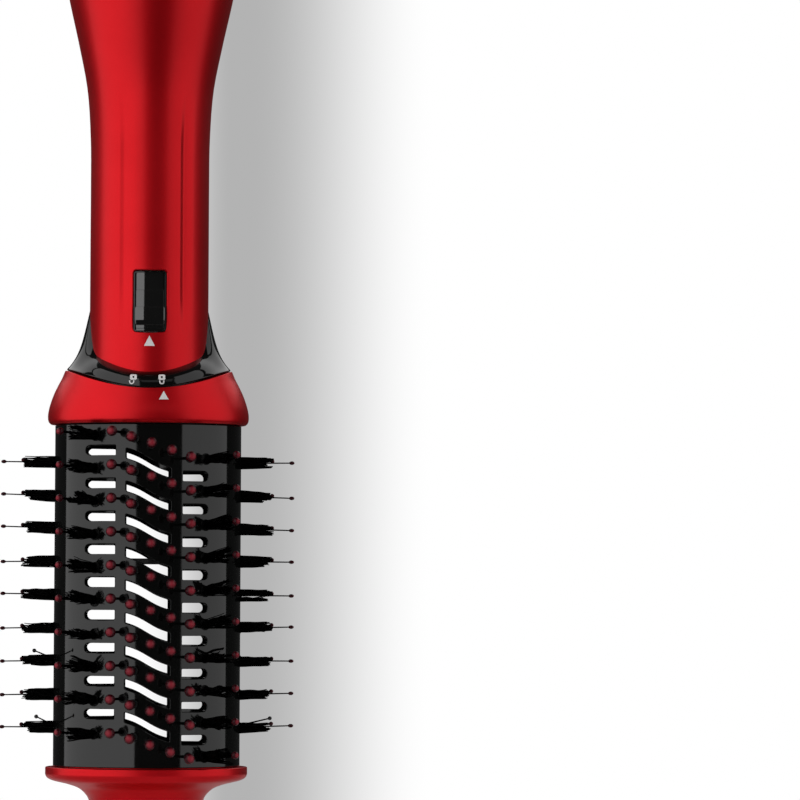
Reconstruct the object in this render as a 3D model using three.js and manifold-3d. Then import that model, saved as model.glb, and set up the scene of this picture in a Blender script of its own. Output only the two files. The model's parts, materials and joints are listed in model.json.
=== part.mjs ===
// Hot-air styling brush: an oval bristle head that locks onto a motor handle.
// Millimetres, +Z up. The brush stands on its cool tip: the origin is the middle of the tip's end
// face, +Z runs up the barrel to the cord end of the handle, and the front faces -Y.
import * as THREE from "three";
import { mergeVertices } from "three/addons/utils/BufferGeometryUtils.js";
import Module from "manifold-3d";

const wasm = await Module();
wasm.setup();

// ---- Driving dimensions -------------------------------------------------------------------------
const GAP = 0.3; // running gap between neighbouring pieces
const PAST = 1; // how far a cutting tool runs past the face it cuts

// Tip, barrel and collar of the brush head
const TIP_NECK_R = 18.5;
const TIP_TOP_Z = 23.2;
const TIP_FLANGE_R = 33;
const TIP_FLANGE_DEPTH = 25.6;
const BARREL_R = 30.5; // half width, along X
const BARREL_DEPTH = 22.5; // half depth, along Y
const BARREL_WALL = 1.6;
const BARREL_BASE_Z = TIP_TOP_Z + GAP;
const BARREL_TOP_Z = 134.7;
const DOME_BASE_Z = BARREL_TOP_Z + GAP;
const MOUTH_FRONT_Z = 146.3; // the collar's mouth is a saddle: low at front and back
const MOUTH_SIDE_Z = 152.8; // and high at the sides
const SEAT_R = 21.85;
const SEAT_BASE_Z = 145.9;
const NOZZLE_R = 14.2;
const NOZZLE_BASE_Z = 141;

// Slots and bristle rows
const SLOT_PITCH = 10.66;
const SIDE_PITCH = 10.8;
const SLOT_ROWS = 9;
const SLOT_HEIGHT = 3.2;
const ROW_PITCH = 10.72;
const ROW_COUNT = 10;
const TOP_ROW_Z = 128.2;
const TOP_SLOT_Z = 122;
const BLADE_THICK = 0.6;
const PIN_REACH = 38.5; // how far front and back pins reach from the axis
const SIDE_REACH = 48; // how far side pins reach from the axis
const SIDE_TUFT_REACH = 41;
const SIDE_ROWS = 9;
const SIDE_TOP_Z = 122.6;
const RAIL_X = 9.2; // the bristle rows' rails hide behind the barrel's ribs
const BAFFLE_Z = 90.3;
const TIE_ROD_X = 23.5;
const TIE_ROD_R = 1.5;

// Handle
const GRIP_R = 19.45;
const SHELL_WALL = 2.15;
const TONGUE_FRONT_Z = 151.1; // the shell's lower edge, at the front
const TONGUE_SIDE_Z = 158; // and at the sides
const FLARE_TOP_Z = 173;
const SHELL_TOP_Z = 322;
const GRILLE_TOP_Z = 338.3;
const DIAL_BASE_Z = GRILLE_TOP_Z + GAP;
const DIAL_TOP_Z = 348.6;
const CAP_TOP_Z = 354;
const END_Z = 358;
const WINDOW_WIDTH = 11.2;
const WINDOW_LOW_Z = 164.4;
const WINDOW_HIGH_Z = 184.6;
const SLIDER_TRAVEL = 5; // how far the release slider runs up to unlock the head
const FAN_Z = 303;
const MOTOR_R = 14;
const SHROUD_R = 26.2;
const SCREW_X = 13.5;
const SCREW_Z = 250;

// ---- Materials ----------------------------------------------------------------------------------
const finish = (color, roughness, metalness = 0) =>
  new THREE.MeshStandardMaterial({ color, roughness, metalness });
const RED = () => finish(0xb5121b, 0.3, 0.6);
const BLACK = () => finish(0x0b0b0c, 0.15);
const SATIN_BLACK = () => finish(0x161617, 0.5);
const BRISTLE = () => finish(0x101011, 0.6);
const STEEL = () => finish(0x9a9c9e, 0.3, 1);
const BRASS = () => finish(0xa88242, 0.35, 1);
const MICA = () => finish(0xc9bfa4, 0.7);
const BOARD = () => finish(0x1d5b37, 0.6);
const RUBBER = () => finish(0x1c1c1c, 0.9);

// ---- Solids -------------------------------------------------------------------------------------
// A manifold solid from a closed geometry, turned the right way out.
function toSolid(geometry) {
  const bare = new THREE.BufferGeometry();
  bare.setAttribute("position", geometry.getAttribute("position"));
  bare.setIndex(geometry.getIndex());
  const merged = mergeVertices(bare, 1e-4);
  const at = merged.attributes.position.array;
  const faces = [];
  let volume = 0;
  for (let i = 0; i < merged.index.count; i += 3) {
    const [a, b, c] = [0, 1, 2].map((k) => merged.index.getX(i + k));
    if (a === b || b === c || a === c) continue;
    faces.push([a, b, c]);
    const [u, v, w] = [a, b, c].map((k) => new THREE.Vector3().fromArray(at, 3 * k));
    volume += u.dot(v.cross(w));
  }
  const triVerts = faces.flatMap(([a, b, c]) => (volume < 0 ? [a, c, b] : [a, b, c]));
  const vertProperties = new Float32Array(at);
  const mesh = new wasm.Mesh({ numProp: 3, vertProperties, triVerts: new Uint32Array(triVerts) });
  return new wasm.Manifold(mesh);
}

const join = (...solids) => solids.reduce((whole, piece) => whole.add(piece));
const cut = (whole, ...tools) => tools.reduce((rest, tool) => rest.subtract(tool), whole);

function toGeometry(solid) {
  const { vertProperties, triVerts, numProp } = solid.getMesh();
  const xyz = [];
  for (let i = 0; i < vertProperties.length; i += numProp) {
    xyz.push(vertProperties[i], vertProperties[i + 1], vertProperties[i + 2]);
  }
  const geometry = new THREE.BufferGeometry();
  geometry.setAttribute("position", new THREE.BufferAttribute(new Float32Array(xyz), 3));
  geometry.setIndex(new THREE.BufferAttribute(new Uint32Array(triVerts), 1));
  geometry.computeVertexNormals();
  return geometry;
}

// Moves every vertex of a geometry by a formula.
function deform(geometry, formula) {
  const position = geometry.getAttribute("position");
  for (let i = 0; i < position.count; i += 1) {
    const moved = formula(position.getX(i), position.getY(i), position.getZ(i));
    position.setXYZ(i, moved.x, moved.y, moved.z);
  }
  return geometry;
}

// A profile of [radius, z] points turned about Z. It closes on itself where it leaves the axis.
function turnedGeometry(profile, segments) {
  const points = profile.map(([r, z]) => new THREE.Vector2(r, z));
  const offAxis = profile[0][0] > 0 || profile[profile.length - 1][0] > 0;
  if (offAxis) points.push(points[0].clone());
  return new THREE.LatheGeometry(points, segments).rotateX(Math.PI / 2);
}
const turned = (profile, segments = 28) => toSolid(turnedGeometry(profile, segments));

// A round bar or tube end to end along Z.
const disc = (r, low, high, segments = 24) =>
  turned([[0, low], [r, low], [r, high], [0, high]], segments);
const ring = (inner, outer, low, high, segments = 24) =>
  turned([[inner, low], [outer, low], [outer, high], [inner, high]], segments);

// A loft whose levels each hold a side point and a front point, as [radius, z].
// Between them, round the axis, the radius follows an ellipse and the height a saddle.
function saddleLoft(levels, segments = 24) {
  const profile = levels.map((level, index) => [1, index]);
  const closed = levels[0].closesOnAxis ? [[0, 0], ...profile, [0, levels.length - 1]] : profile;
  const geometry = turnedGeometry(closed, segments);
  return toSolid(deform(geometry, (x, y, z) => {
    const level = levels[Math.round(z)];
    const away = Math.hypot(x, y);
    const side = away > 0 ? (x * x) / (away * away) : 0.5;
    return {
      x: x * level.side[0],
      y: y * level.front[0],
      z: level.front[1] + (level.side[1] - level.front[1]) * side,
    };
  }));
}
const level = (side, front) => ({ side, front });
const filled = (levels) => [{ ...levels[0], closesOnAxis: true }, ...levels.slice(1)];

// An upright oval tube or plug between two heights.
const ovalPlug = (halfWidth, halfDepth, low, high, segments = 24) =>
  saddleLoft(filled([
    level([halfWidth, low], [halfDepth, low]),
    level([halfWidth, high], [halfDepth, high]),
  ]), segments);

// A box between two corners.
function block([x0, y0, z0], [x1, y1, z1]) {
  const box = new THREE.BoxGeometry(x1 - x0, y1 - y0, z1 - z0);
  return toSolid(box.translate((x0 + x1) / 2, (y0 + y1) / 2, (z0 + z1) / 2));
}

// A straight peg between two points, from one radius to another.
function peg(from, to, startR, endR, sides = 4) {
  const start = new THREE.Vector3(...from);
  const end = new THREE.Vector3(...to);
  const along = end.clone().sub(start);
  const bar = new THREE.CylinderGeometry(endR, startR, along.length(), sides);
  const turn = new THREE.Quaternion().setFromUnitVectors(
    new THREE.Vector3(0, 1, 0), along.clone().normalize());
  bar.applyQuaternion(turn);
  const middle = start.add(end).multiplyScalar(0.5);
  return toSolid(bar.translate(middle.x, middle.y, middle.z));
}

// The mirror image of a solid, for the back or the left side of the head.
function mirrored(solid, scaleX, scaleY) {
  return toSolid(toGeometry(solid).scale(scaleX, scaleY, 1));
}

// A helix of round wire about a line along Z.
class Helix extends THREE.Curve {
  constructor(radius, low, high, turns, x, y) {
    super();
    Object.assign(this, { radius, low, high, turns, x, y });
  }

  getPoint(t, target = new THREE.Vector3()) {
    const angle = 2 * Math.PI * this.turns * t;
    return target.set(
      this.x + this.radius * Math.cos(angle),
      this.y + this.radius * Math.sin(angle),
      this.low + (this.high - this.low) * t,
    );
  }
}
function coil(radius, wire, low, high, turns, stepsPerTurn, x = 0, y = 0) {
  const section = new THREE.Shape();
  section.absarc(0, 0, wire, 0, 2 * Math.PI);
  return toSolid(new THREE.ExtrudeGeometry(section, {
    steps: turns * stepsPerTurn,
    curveSegments: 2,
    extrudePath: new Helix(radius, low, high, turns, x, y),
  }));
}

const object = new THREE.Group();
const head = new THREE.Group();
const handle = new THREE.Group();
object.add(head, handle);

function part(group, name, solid, material) {
  const mesh = new THREE.Mesh(toGeometry(solid), material);
  mesh.name = name;
  group.add(mesh);
}

// ---- Barrel -------------------------------------------------------------------------------------
const barrelY = (x, halfWidth, halfDepth) => halfDepth * Math.sqrt(1 - (x / halfWidth) ** 2);

// Bristle rows run down to the right across the face. Each is a thin curved blade in a slit.
const ROW_HALF_WIDTH = 16;
const ROW_SLOPE = -0.25;
const BLADE_STEPS = 6;
function makeBlade(rowZ) {
  const geometry = new THREE.BoxGeometry(1, 1, 1, BLADE_STEPS, 1, 1);
  return toSolid(deform(geometry, (x, y, z) => {
    const alongX = 2 * x * ROW_HALF_WIDTH;
    const outer = barrelY(alongX, BARREL_R, BARREL_DEPTH) - GAP;
    const inner = barrelY(alongX, 28, 18);
    return { x: alongX, y: y < 0 ? -outer : -inner, z: rowZ + ROW_SLOPE * alongX + z * BLADE_THICK };
  }));
}
function slitTool(rowZ) {
  const box = new THREE.BoxGeometry(2 * (ROW_HALF_WIDTH + GAP), 20, BLADE_THICK + 2 * GAP);
  return toSolid(deform(box.translate(0, -24, 0), (x, y, z) => ({ x, y, z: rowZ + ROW_SLOPE * x + z })));
}

// Three slots to a row: a short one on the left, a slanting one in the middle, a short right one.
const SLOTS = [
  { from: -20.6, to: -10.7, rise: 4.1, fall: 4.1 },
  { from: -7.4, to: 7.1, rise: 3.1, fall: -3.1 },
  { from: 11.2, to: 18.9, rise: -4.2, fall: -4.2 },
];
function slotTool({ from, to, rise, fall }, centreZ) {
  const box = new THREE.BoxGeometry(1, 1, 1);
  const near = -BARREL_DEPTH - PAST;
  const far = -7;
  return toSolid(deform(box, (x, y, z) => ({
    x: x < 0 ? from : to,
    y: y < 0 ? near : far,
    z: centreZ + (x < 0 ? rise : fall) + z * SLOT_HEIGHT,
  })));
}

const rowHeights = Array.from({ length: ROW_COUNT }, (_, row) => TOP_ROW_Z - row * ROW_PITCH);
const slotHeights = Array.from({ length: SLOT_ROWS }, (_, row) => TOP_SLOT_Z - row * SLOT_PITCH);
const SPINE_HALF = 0.5; // half thickness of the side strips' spines
const SPINE_LOW_Z = 33;
const SPINE_HIGH_Z = 127;
const sideHeights = Array.from({ length: SIDE_ROWS }, (_, row) => SIDE_TOP_Z - row * SIDE_PITCH);

function makeBarrel() {
  const outside = ovalPlug(BARREL_R, BARREL_DEPTH, BARREL_BASE_Z, BARREL_TOP_Z);
  const inside = ovalPlug(BARREL_R - BARREL_WALL, BARREL_DEPTH - BARREL_WALL,
    BARREL_BASE_Z - PAST, BARREL_TOP_Z + PAST);
  const slots = slotHeights.flatMap((z) => SLOTS.map((slot) => slotTool(slot, z)));
  const slits = rowHeights.map(slitTool);
  const face = join(...slots, ...slits);
  const sideSlit = block([-BARREL_R - PAST, -SPINE_HALF - GAP, SPINE_LOW_Z - GAP],
    [BARREL_R + PAST, SPINE_HALF + GAP, SPINE_HIGH_Z + GAP]);
  return cut(outside, inside, face, mirrored(face, 1, -1), sideSlit);
}
part(head, "barrel", makeBarrel(), BLACK());

// ---- Bristles -----------------------------------------------------------------------------------
const PIN_X = [-12, -5.6, 1.1, 7.8, 14.1];
const PIN_R = 0.5;
const FOOT_R = 0.25; // pins and tufts narrow to this where they leave a blade
const TUFT_BASE_X = 14.6;
const TUFT_TIP = [26, 34];
function makeCage() {
  const rails = [-RAIL_X, RAIL_X].map((x) =>
    block([x - 1.1, -19, TIP_TOP_Z + 4], [x + 1.1, -17.3, TOP_ROW_Z + 1.5]));
  const rows = rowHeights.flatMap((z) => {
    const blade = makeBlade(z);
    const foot = (x) => [x, -barrelY(x, BARREL_R, BARREL_DEPTH) + 1.3, z + ROW_SLOPE * x];
    const pins = PIN_X.map((x) => {
      const base = foot(x * 0.92);
      return peg(base, [x, -PIN_REACH, base[2]], FOOT_R, PIN_R, 3);
    });
    const tufts = [-1, 1].map((side) => {
      const base = foot(side * TUFT_BASE_X);
      return peg(base, [side * TUFT_TIP[0], -TUFT_TIP[1], base[2]], FOOT_R, 1.7);
    });
    return [blade, ...pins, ...tufts];
  });
  return join(...rails, ...rows);
}
const cage = makeCage();
part(head, "bristle_cage_front", cage, BRISTLE());
part(head, "bristle_cage_back", mirrored(cage, 1, -1), BRISTLE());

function makeSideStrip() {
  const spine = block([25.8, -SPINE_HALF, SPINE_LOW_Z], [BARREL_R + 1, SPINE_HALF, SPINE_HIGH_Z]);
  const tufts = sideHeights.flatMap((z) => [
    peg([BARREL_R + 0.5, 0, z], [SIDE_TUFT_REACH, 0, z], 1.3, 1.7),
    peg([SIDE_TUFT_REACH - PAST, 0, z], [SIDE_REACH, 0, z], PIN_R, PIN_R, 3),
  ]);
  return join(spine, ...tufts);
}
const sideStrip = makeSideStrip();
part(head, "bristle_strip_right", sideStrip, BRISTLE());
part(head, "bristle_strip_left", mirrored(sideStrip, -1, 1), BRISTLE());

// ---- Inside the barrel --------------------------------------------------------------------------
const BAFFLE_THICK = 1.7;
function makeBaffle() {
  const low = BAFFLE_Z - BAFFLE_THICK / 2;
  const high = BAFFLE_Z + BAFFLE_THICK / 2;
  const plate = ovalPlug(25.4, 16.4, low, high);
  const airHoles = [-14, 14].map((x) =>
    peg([x, 0, low - PAST], [x, 0, high + PAST], 4, 4, 12));
  const rodNotch = TIE_ROD_X - TIE_ROD_R - GAP;
  const notches = [[-30, -rodNotch], [rodNotch, 30]].map(([x0, x1]) =>
    block([x0, -20, low - PAST], [x1, 20, high + PAST]));
  return cut(plate, ...airHoles, ...notches);
}
part(head, "inner_baffle", makeBaffle(), SATIN_BLACK());

const TIE_ROD_BASE_Z = 19.8;
const TIE_ROD_TOP_Z = 139.4;
const tieHole = (x, low, high) =>
  peg([x, 0, low], [x, 0, high], TIE_ROD_R + GAP, TIE_ROD_R + GAP, 10);
[["left", -TIE_ROD_X], ["right", TIE_ROD_X]].forEach(([side, x]) => {
  const rod = peg([x, 0, TIE_ROD_BASE_Z], [x, 0, TIE_ROD_TOP_Z], TIE_ROD_R, TIE_ROD_R, 10);
  part(head, `tie_rod_${side}`, rod, STEEL());
});

// ---- Cool tip -----------------------------------------------------------------------------------
// A round neck that flares into an oval flange, with a spigot up inside the barrel.
function makeTip() {
  const outside = saddleLoft(filled([
    level([TIP_NECK_R - 0.8, 0], [TIP_NECK_R - 0.8, 0]),
    level([TIP_NECK_R, 0.8], [TIP_NECK_R, 0.8]),
    level([TIP_NECK_R, 11.5], [TIP_NECK_R, 11.5]),
    level([19.4, 13.7], [18.9, 13.7]),
    level([21.9, 16.1], [20.2, 16.1]),
    level([26.6, 17.7], [22.6, 17.7]),
    level([TIP_FLANGE_R - 1.2, 19.1], [TIP_FLANGE_DEPTH - 1.2, 19.1]),
    level([TIP_FLANGE_R, 20.6], [TIP_FLANGE_DEPTH, 20.6]),
    level([TIP_FLANGE_R, 22.2], [TIP_FLANGE_DEPTH, 22.2]),
    level([TIP_FLANGE_R - 0.8, TIP_TOP_Z], [TIP_FLANGE_DEPTH - 0.8, TIP_TOP_Z]),
  ]));
  const spigot = ovalPlug(BARREL_R - BARREL_WALL - GAP, BARREL_DEPTH - BARREL_WALL - GAP,
    TIP_TOP_Z - 1, TIP_TOP_Z + 1.2);
  const hollow = disc(14.5, 4, TIP_TOP_Z + 5);
  const holes = [-TIE_ROD_X, TIE_ROD_X].map((x) => tieHole(x, TIE_ROD_BASE_Z - GAP, TIP_TOP_Z + 5));
  return cut(join(outside, spigot), hollow, ...holes);
}
part(head, "tip_cap", makeTip(), RED());

// ---- Head collar and socket ---------------------------------------------------------------------
const CAVITY_TOP_Z = 142;
const SOCKET_TOP_Z = 144;
function makeHeadCollar() {
  const dome = saddleLoft(filled([
    level([31.8, DOME_BASE_Z], [24.5, DOME_BASE_Z]),
    level([32.8, DOME_BASE_Z + 1.2], [25.4, DOME_BASE_Z + 1.1]),
    level([32.9, DOME_BASE_Z + 2.9], [25.6, DOME_BASE_Z + 2.5]),
    level([32.3, 141], [25.4, 139.5]),
    level([30.9, 145.4], [24.9, 142.3]),
    level([28.9, 149.5], [24.3, 144.8]),
    level([27.3, MOUTH_SIDE_Z], [23.8, MOUTH_FRONT_Z]),
  ]));
  const mouth = disc(SEAT_R + GAP, DOME_BASE_Z - PAST, MOUTH_SIDE_Z + PAST, 28);
  const cavity = ovalPlug(28.8, 22.4, DOME_BASE_Z - PAST, CAVITY_TOP_Z);
  return cut(dome, mouth, cavity);
}
part(head, "head_collar", makeHeadCollar(), RED());

const SPIGOT_LOW_Z = 131.6;
function makeSocket() {
  const plate = ovalPlug(28.4, 22, BARREL_TOP_Z + GAP, CAVITY_TOP_Z - GAP);
  const boss = disc(SEAT_R - GAP, CAVITY_TOP_Z - 1, SOCKET_TOP_Z, 28);
  const tabs = block([-30, -8, SPIGOT_LOW_Z - PAST], [30, 8, DOME_BASE_Z + 1]);
  const spigot = ovalPlug(28.4, 20.4, SPIGOT_LOW_Z, DOME_BASE_Z + 1).intersect(tabs);
  const inside = ovalPlug(26.4, 18.4, SPIGOT_LOW_Z - PAST, DOME_BASE_Z + 1.5);
  const bore = disc(NOZZLE_R + 0.5, DOME_BASE_Z, SOCKET_TOP_Z + PAST, 24);
  const holes = [-TIE_ROD_X, TIE_ROD_X].map((x) => tieHole(x, SPIGOT_LOW_Z, TIE_ROD_TOP_Z + GAP));
  return cut(join(plate, boss, spigot), inside, bore, ...holes);
}
part(head, "head_socket", makeSocket(), SATIN_BLACK());

const GASKET_R = [15.4, 21.2];
part(head, "socket_gasket",
  ring(GASKET_R[0], GASKET_R[1], SOCKET_TOP_Z + GAP, SEAT_BASE_Z - GAP), RUBBER());

// ---- Outlet end of the handle -------------------------------------------------------------------
const SLAB_BORE_R = 15.5;
const LATCH_HALF_WIDTH = 3;
const LATCH_Y = [-16.9, -15.9];
const tongueCut = (radius, drop) => saddleLoft(filled([
  level([radius, TONGUE_SIDE_Z - drop], [radius, TONGUE_FRONT_Z - drop]),
  level([radius, FLARE_TOP_Z + 20], [radius, FLARE_TOP_Z + 20]),
]));
// The collar leaves the grip along the tongue's edge and flares out to an oval rim. At the sides it
// reaches further up the grip, as two narrow wings.
const WING_RISE = FLARE_TOP_Z - TONGUE_SIDE_Z;
const WING_NARROWNESS = 15;
const BAND_SHARE = 1.6; // how far round the sides the steep band gives way to a wing
const FLARE_STEPS = 5;
const UNDER_RIM = FLARE_STEPS + 1; // the levels that close the collar on its bore
const UNDER_BORE = FLARE_STEPS + 2;
const TOP_BORE = -1;
const FLARE_RIM = { side: 26.8, sideZ: 153.3, front: 23.5, frontZ: 146.8 };
const between = (front, side, share) => front + (side - front) * share;
function flarePoint(step, share) {
  const t = step / FLARE_STEPS;
  const startZ = between(TONGUE_FRONT_Z, TONGUE_SIDE_Z, share) + WING_RISE * share ** WING_NARROWNESS;
  const rimZ = between(FLARE_RIM.frontZ, FLARE_RIM.sideZ, share);
  const rimR = between(FLARE_RIM.front, FLARE_RIM.side, share);
  const wing = 0.6 * t + 0.4 * t ** 5;
  const band = 1 - (1 - t) ** 4;
  const swing = between(band, wing, share ** BAND_SHARE);
  return { r: GRIP_R + (rimR - GRIP_R) * swing, z: startZ + (rimZ - startZ) * t };
}
function makeOutletCollar() {
  const levels = Array.from({ length: FLARE_STEPS + 1 }, (_, step) => [1, step]);
  const closing = [[1, UNDER_RIM], [1, UNDER_BORE], [1, TOP_BORE]];
  const geometry = turnedGeometry([...levels, ...closing], 32);
  const flare = toSolid(deform(geometry, (x, y, z) => {
    const step = Math.round(z);
    const share = x * x;
    let at = flarePoint(Math.min(Math.max(step, 0), FLARE_STEPS), share);
    if (step === UNDER_RIM) at = { r: at.r - 0.3, z: at.z - 0.2 };
    if (step === UNDER_BORE) at = { r: SLAB_BORE_R, z: at.z + 0.6 };
    if (step === TOP_BORE) at = { r: SLAB_BORE_R, z: at.z };
    return { x: x * at.r, y: y * at.r, z: at.z };
  }));
  const latchWay = block([-LATCH_HALF_WIDTH - GAP, LATCH_Y[0] - GAP, SEAT_BASE_Z],
    [LATCH_HALF_WIDTH + GAP, LATCH_Y[1] + 2, FLARE_TOP_Z]);
  return cut(flare, tongueCut(GRIP_R + GAP, GAP), latchWay);
}
part(handle, "outlet_collar", makeOutletCollar(), BLACK());

part(handle, "seat_ring", saddleLoft([
  level([SLAB_BORE_R, SEAT_BASE_Z], [SLAB_BORE_R, SEAT_BASE_Z]),
  level([SEAT_R - 0.4, SEAT_BASE_Z], [SEAT_R - 0.4, SEAT_BASE_Z]),
  level([SEAT_R, SEAT_BASE_Z + 0.4], [SEAT_R, SEAT_BASE_Z + 0.4]),
  level([SEAT_R, 151.6], [SEAT_R, 146.7]),
  level([SLAB_BORE_R, 151.6], [SLAB_BORE_R, 146.7]),
]), SATIN_BLACK());

const NOZZLE_WALL = 1.2;
const NOZZLE_TOP_Z = 159;
part(handle, "outlet_nozzle",
  ring(NOZZLE_R - NOZZLE_WALL, NOZZLE_R, NOZZLE_BASE_Z, NOZZLE_TOP_Z), STEEL());

const GRILLE_Z = NOZZLE_BASE_Z + 1.5;
function makeNozzleGrille() {
  const rim = ring(11.2, 12.5, GRILLE_Z, GRILLE_Z + 1.6, 20);
  const bars = [-5.5, 0, 5.5].map((y) => {
    const reach = Math.sqrt(11.9 ** 2 - y ** 2) - 0.3;
    return block([-reach, y - 0.5, GRILLE_Z + 0.3], [reach, y + 0.5, GRILLE_Z + 1.2]);
  });
  const cross = block([-0.6, -11.6, GRILLE_Z + 0.5], [0.6, 11.6, GRILLE_Z + 1.4]);
  return join(rim, ...bars, cross);
}
part(handle, "nozzle_grille", makeNozzleGrille(), SATIN_BLACK());

// ---- Handle shells ------------------------------------------------------------------------------
const SHELL_PROFILE = [
  [GRIP_R, 229], [20.7, 245], [23.6, 260], [27, 275.6], [29.6, 290], [30.9, 306],
  [30.3, SHELL_TOP_Z],
];
function makeShells() {
  const body = (offset, low, side, high) => saddleLoft(filled([
    level([GRIP_R - offset, side], [GRIP_R - offset, low]),
    ...SHELL_PROFILE.map(([r, z], index) => {
      const height = index === SHELL_PROFILE.length - 1 ? high : z;
      return level([r - offset, height], [r - offset, height]);
    }),
  ]));
  const outside = body(0, TONGUE_FRONT_Z, TONGUE_SIDE_Z, SHELL_TOP_Z);
  const inside = body(SHELL_WALL, TONGUE_FRONT_Z - 5, TONGUE_SIDE_Z - 5, SHELL_TOP_Z + PAST);
  const lidRim = disc(GRIP_R - SHELL_WALL, 140, 175, 24);
  return cut(outside, inside, lidRim);
}
const shell = makeShells();
const halfSpace = (sign) => {
  const [y0, y1] = sign < 0 ? [-60, -GAP / 2] : [GAP / 2, 60];
  return block([-60, y0, 130], [60, y1, 340]);
};
const windowTool = block([-WINDOW_WIDTH / 2, -GRIP_R - PAST, WINDOW_LOW_Z],
  [WINDOW_WIDTH / 2, -GRIP_R + 4, WINDOW_HIGH_Z]);

// Screw bosses stand inside both halves, one each side.
const SCREW_R = 1.3;
const BOSS_R = 3;
const BOSS_REACH = 12.8;
const bossTool = (x, y0, y1, r) => peg([x, y0, SCREW_Z], [x, y1, SCREW_Z], r, r, 12);
const bosses = (y0, y1, r) => [-SCREW_X, SCREW_X].map((x) => bossTool(x, y0, y1, r));
const SPRING_STOP_Z = 181.3;
function makeFrontShell() {
  const half = cut(shell.intersect(halfSpace(-1)), windowTool);
  const stop = block([-2, -17.1, SPRING_STOP_Z], [2, -15.8, SPRING_STOP_Z + 1.6]);
  const bracket = block([-2, -18.2, WINDOW_HIGH_Z + 0.4], [2, -15.8, WINDOW_HIGH_Z + 2]);
  const arm = block([-2, -16.4, SPRING_STOP_Z], [2, -15.8, WINDOW_HIGH_Z + 2]);
  const posts = bosses(-BOSS_REACH, -GAP / 2, BOSS_R);
  return cut(join(half, stop, bracket, arm, ...posts), ...bosses(-9, PAST, SCREW_R + GAP));
}
part(handle, "handle_front_shell", makeFrontShell(), RED());

const SCREW_HEAD_R = 2.2;
const SCREW_SEAT_Y = 10;
function makeRearShell() {
  const half = shell.intersect(halfSpace(1));
  const posts = bosses(GAP / 2, BOSS_REACH, BOSS_R);
  return cut(join(half, ...posts), ...bosses(-PAST, 30, SCREW_R + GAP),
    ...bosses(SCREW_SEAT_Y, 30, SCREW_HEAD_R + GAP));
}
part(handle, "handle_rear_shell", makeRearShell(), RED());

[["left", -SCREW_X], ["right", SCREW_X]].forEach(([side, x]) => {
  const shaft = bossTool(x, -8, SCREW_SEAT_Y + 1, SCREW_R);
  const top = bossTool(x, SCREW_SEAT_Y + GAP, SCREW_SEAT_Y + 2.2, SCREW_HEAD_R);
  part(handle, `case_screw_${side}`, join(shaft, top), STEEL());
});

// ---- Release slider -----------------------------------------------------------------------------
const POCKET = { halfWidth: 4.5, low: WINDOW_LOW_Z + 1, high: WINDOW_HIGH_Z - 1, floorY: -18 };
function makeBezel() {
  const frame = block([-WINDOW_WIDTH / 2 + GAP, -GRIP_R + 0.2, WINDOW_LOW_Z + GAP],
    [WINDOW_WIDTH / 2 - GAP, -17.4, WINDOW_HIGH_Z - GAP]);
  const pocket = block([-POCKET.halfWidth, -GRIP_R - PAST, POCKET.low],
    [POCKET.halfWidth, POCKET.floorY, POCKET.high]);
  const way = block([-1.8, -GRIP_R, WINDOW_LOW_Z + 1.6], [1.8, -17, WINDOW_LOW_Z + 12.4]);
  return cut(frame, pocket, way);
}
part(handle, "slider_bezel", makeBezel(), SATIN_BLACK());

const SLIDER_LOW_Z = POCKET.low + GAP;
const SLIDER_HIGH_Z = POCKET.high - GAP - SLIDER_TRAVEL;
function makeSlider() {
  const halfWidth = POCKET.halfWidth - GAP;
  const plate = block([-halfWidth, -18.9, SLIDER_LOW_Z], [halfWidth, -18.3, SLIDER_HIGH_Z]);
  const ridge = block([-halfWidth, -20.1, SLIDER_LOW_Z + 2.8],
    [halfWidth, -18.6, SLIDER_LOW_Z + 7]);
  const foot = block([-1.5, -18.5, WINDOW_LOW_Z + 2.2], [1.5, -17.3, WINDOW_LOW_Z + 5.9]);
  return join(plate, ridge, foot);
}
part(handle, "release_slider", makeSlider(), BLACK());

const LATCH_LOW_Z = 148.6;
const LATCH_TOP_Z = 171;
part(handle, "latch_bolt", block([-LATCH_HALF_WIDTH, LATCH_Y[0], LATCH_LOW_Z],
  [LATCH_HALF_WIDTH, LATCH_Y[1], LATCH_TOP_Z]), STEEL());
part(handle, "release_spring",
  coil(0.75, 0.22, LATCH_TOP_Z + 0.6, SPRING_STOP_Z - 0.6, 4, 6, 0, -16.3), STEEL());

// ---- Heater -------------------------------------------------------------------------------------
const HEATER_LOW_Z = NOZZLE_TOP_Z + 0.6;
const HEATER_HIGH_Z = 236;
const HEATER_R = 12.4;
part(handle, "heat_shield", ring(14.5, 15.1, HEATER_LOW_Z, HEATER_HIGH_Z), MICA());
part(handle, "heater_frame", join(
  block([-HEATER_R + 1.4, -0.4, HEATER_LOW_Z + 1], [HEATER_R - 1.4, 0.4, HEATER_HIGH_Z - 2]),
  block([-0.4, -HEATER_R + 1.4, HEATER_LOW_Z + 1], [0.4, HEATER_R - 1.4, HEATER_HIGH_Z - 2]),
), MICA());
part(handle, "heater_coil",
  coil(HEATER_R, 0.7, HEATER_LOW_Z + 6, HEATER_HIGH_Z - 8, 7, 8), STEEL());
part(handle, "thermostat", block([2, 2, 190], [7, 6.5, 200]), BRASS());
part(handle, "thermal_fuse", peg([-4.5, 4.5, 184], [-4.5, 4.5, 200], 1.6, 1.6, 8), BRASS());
part(handle, "circuit_board", block([-8.5, 2, 240], [8.5, 3.6, 257]), BOARD());

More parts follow.
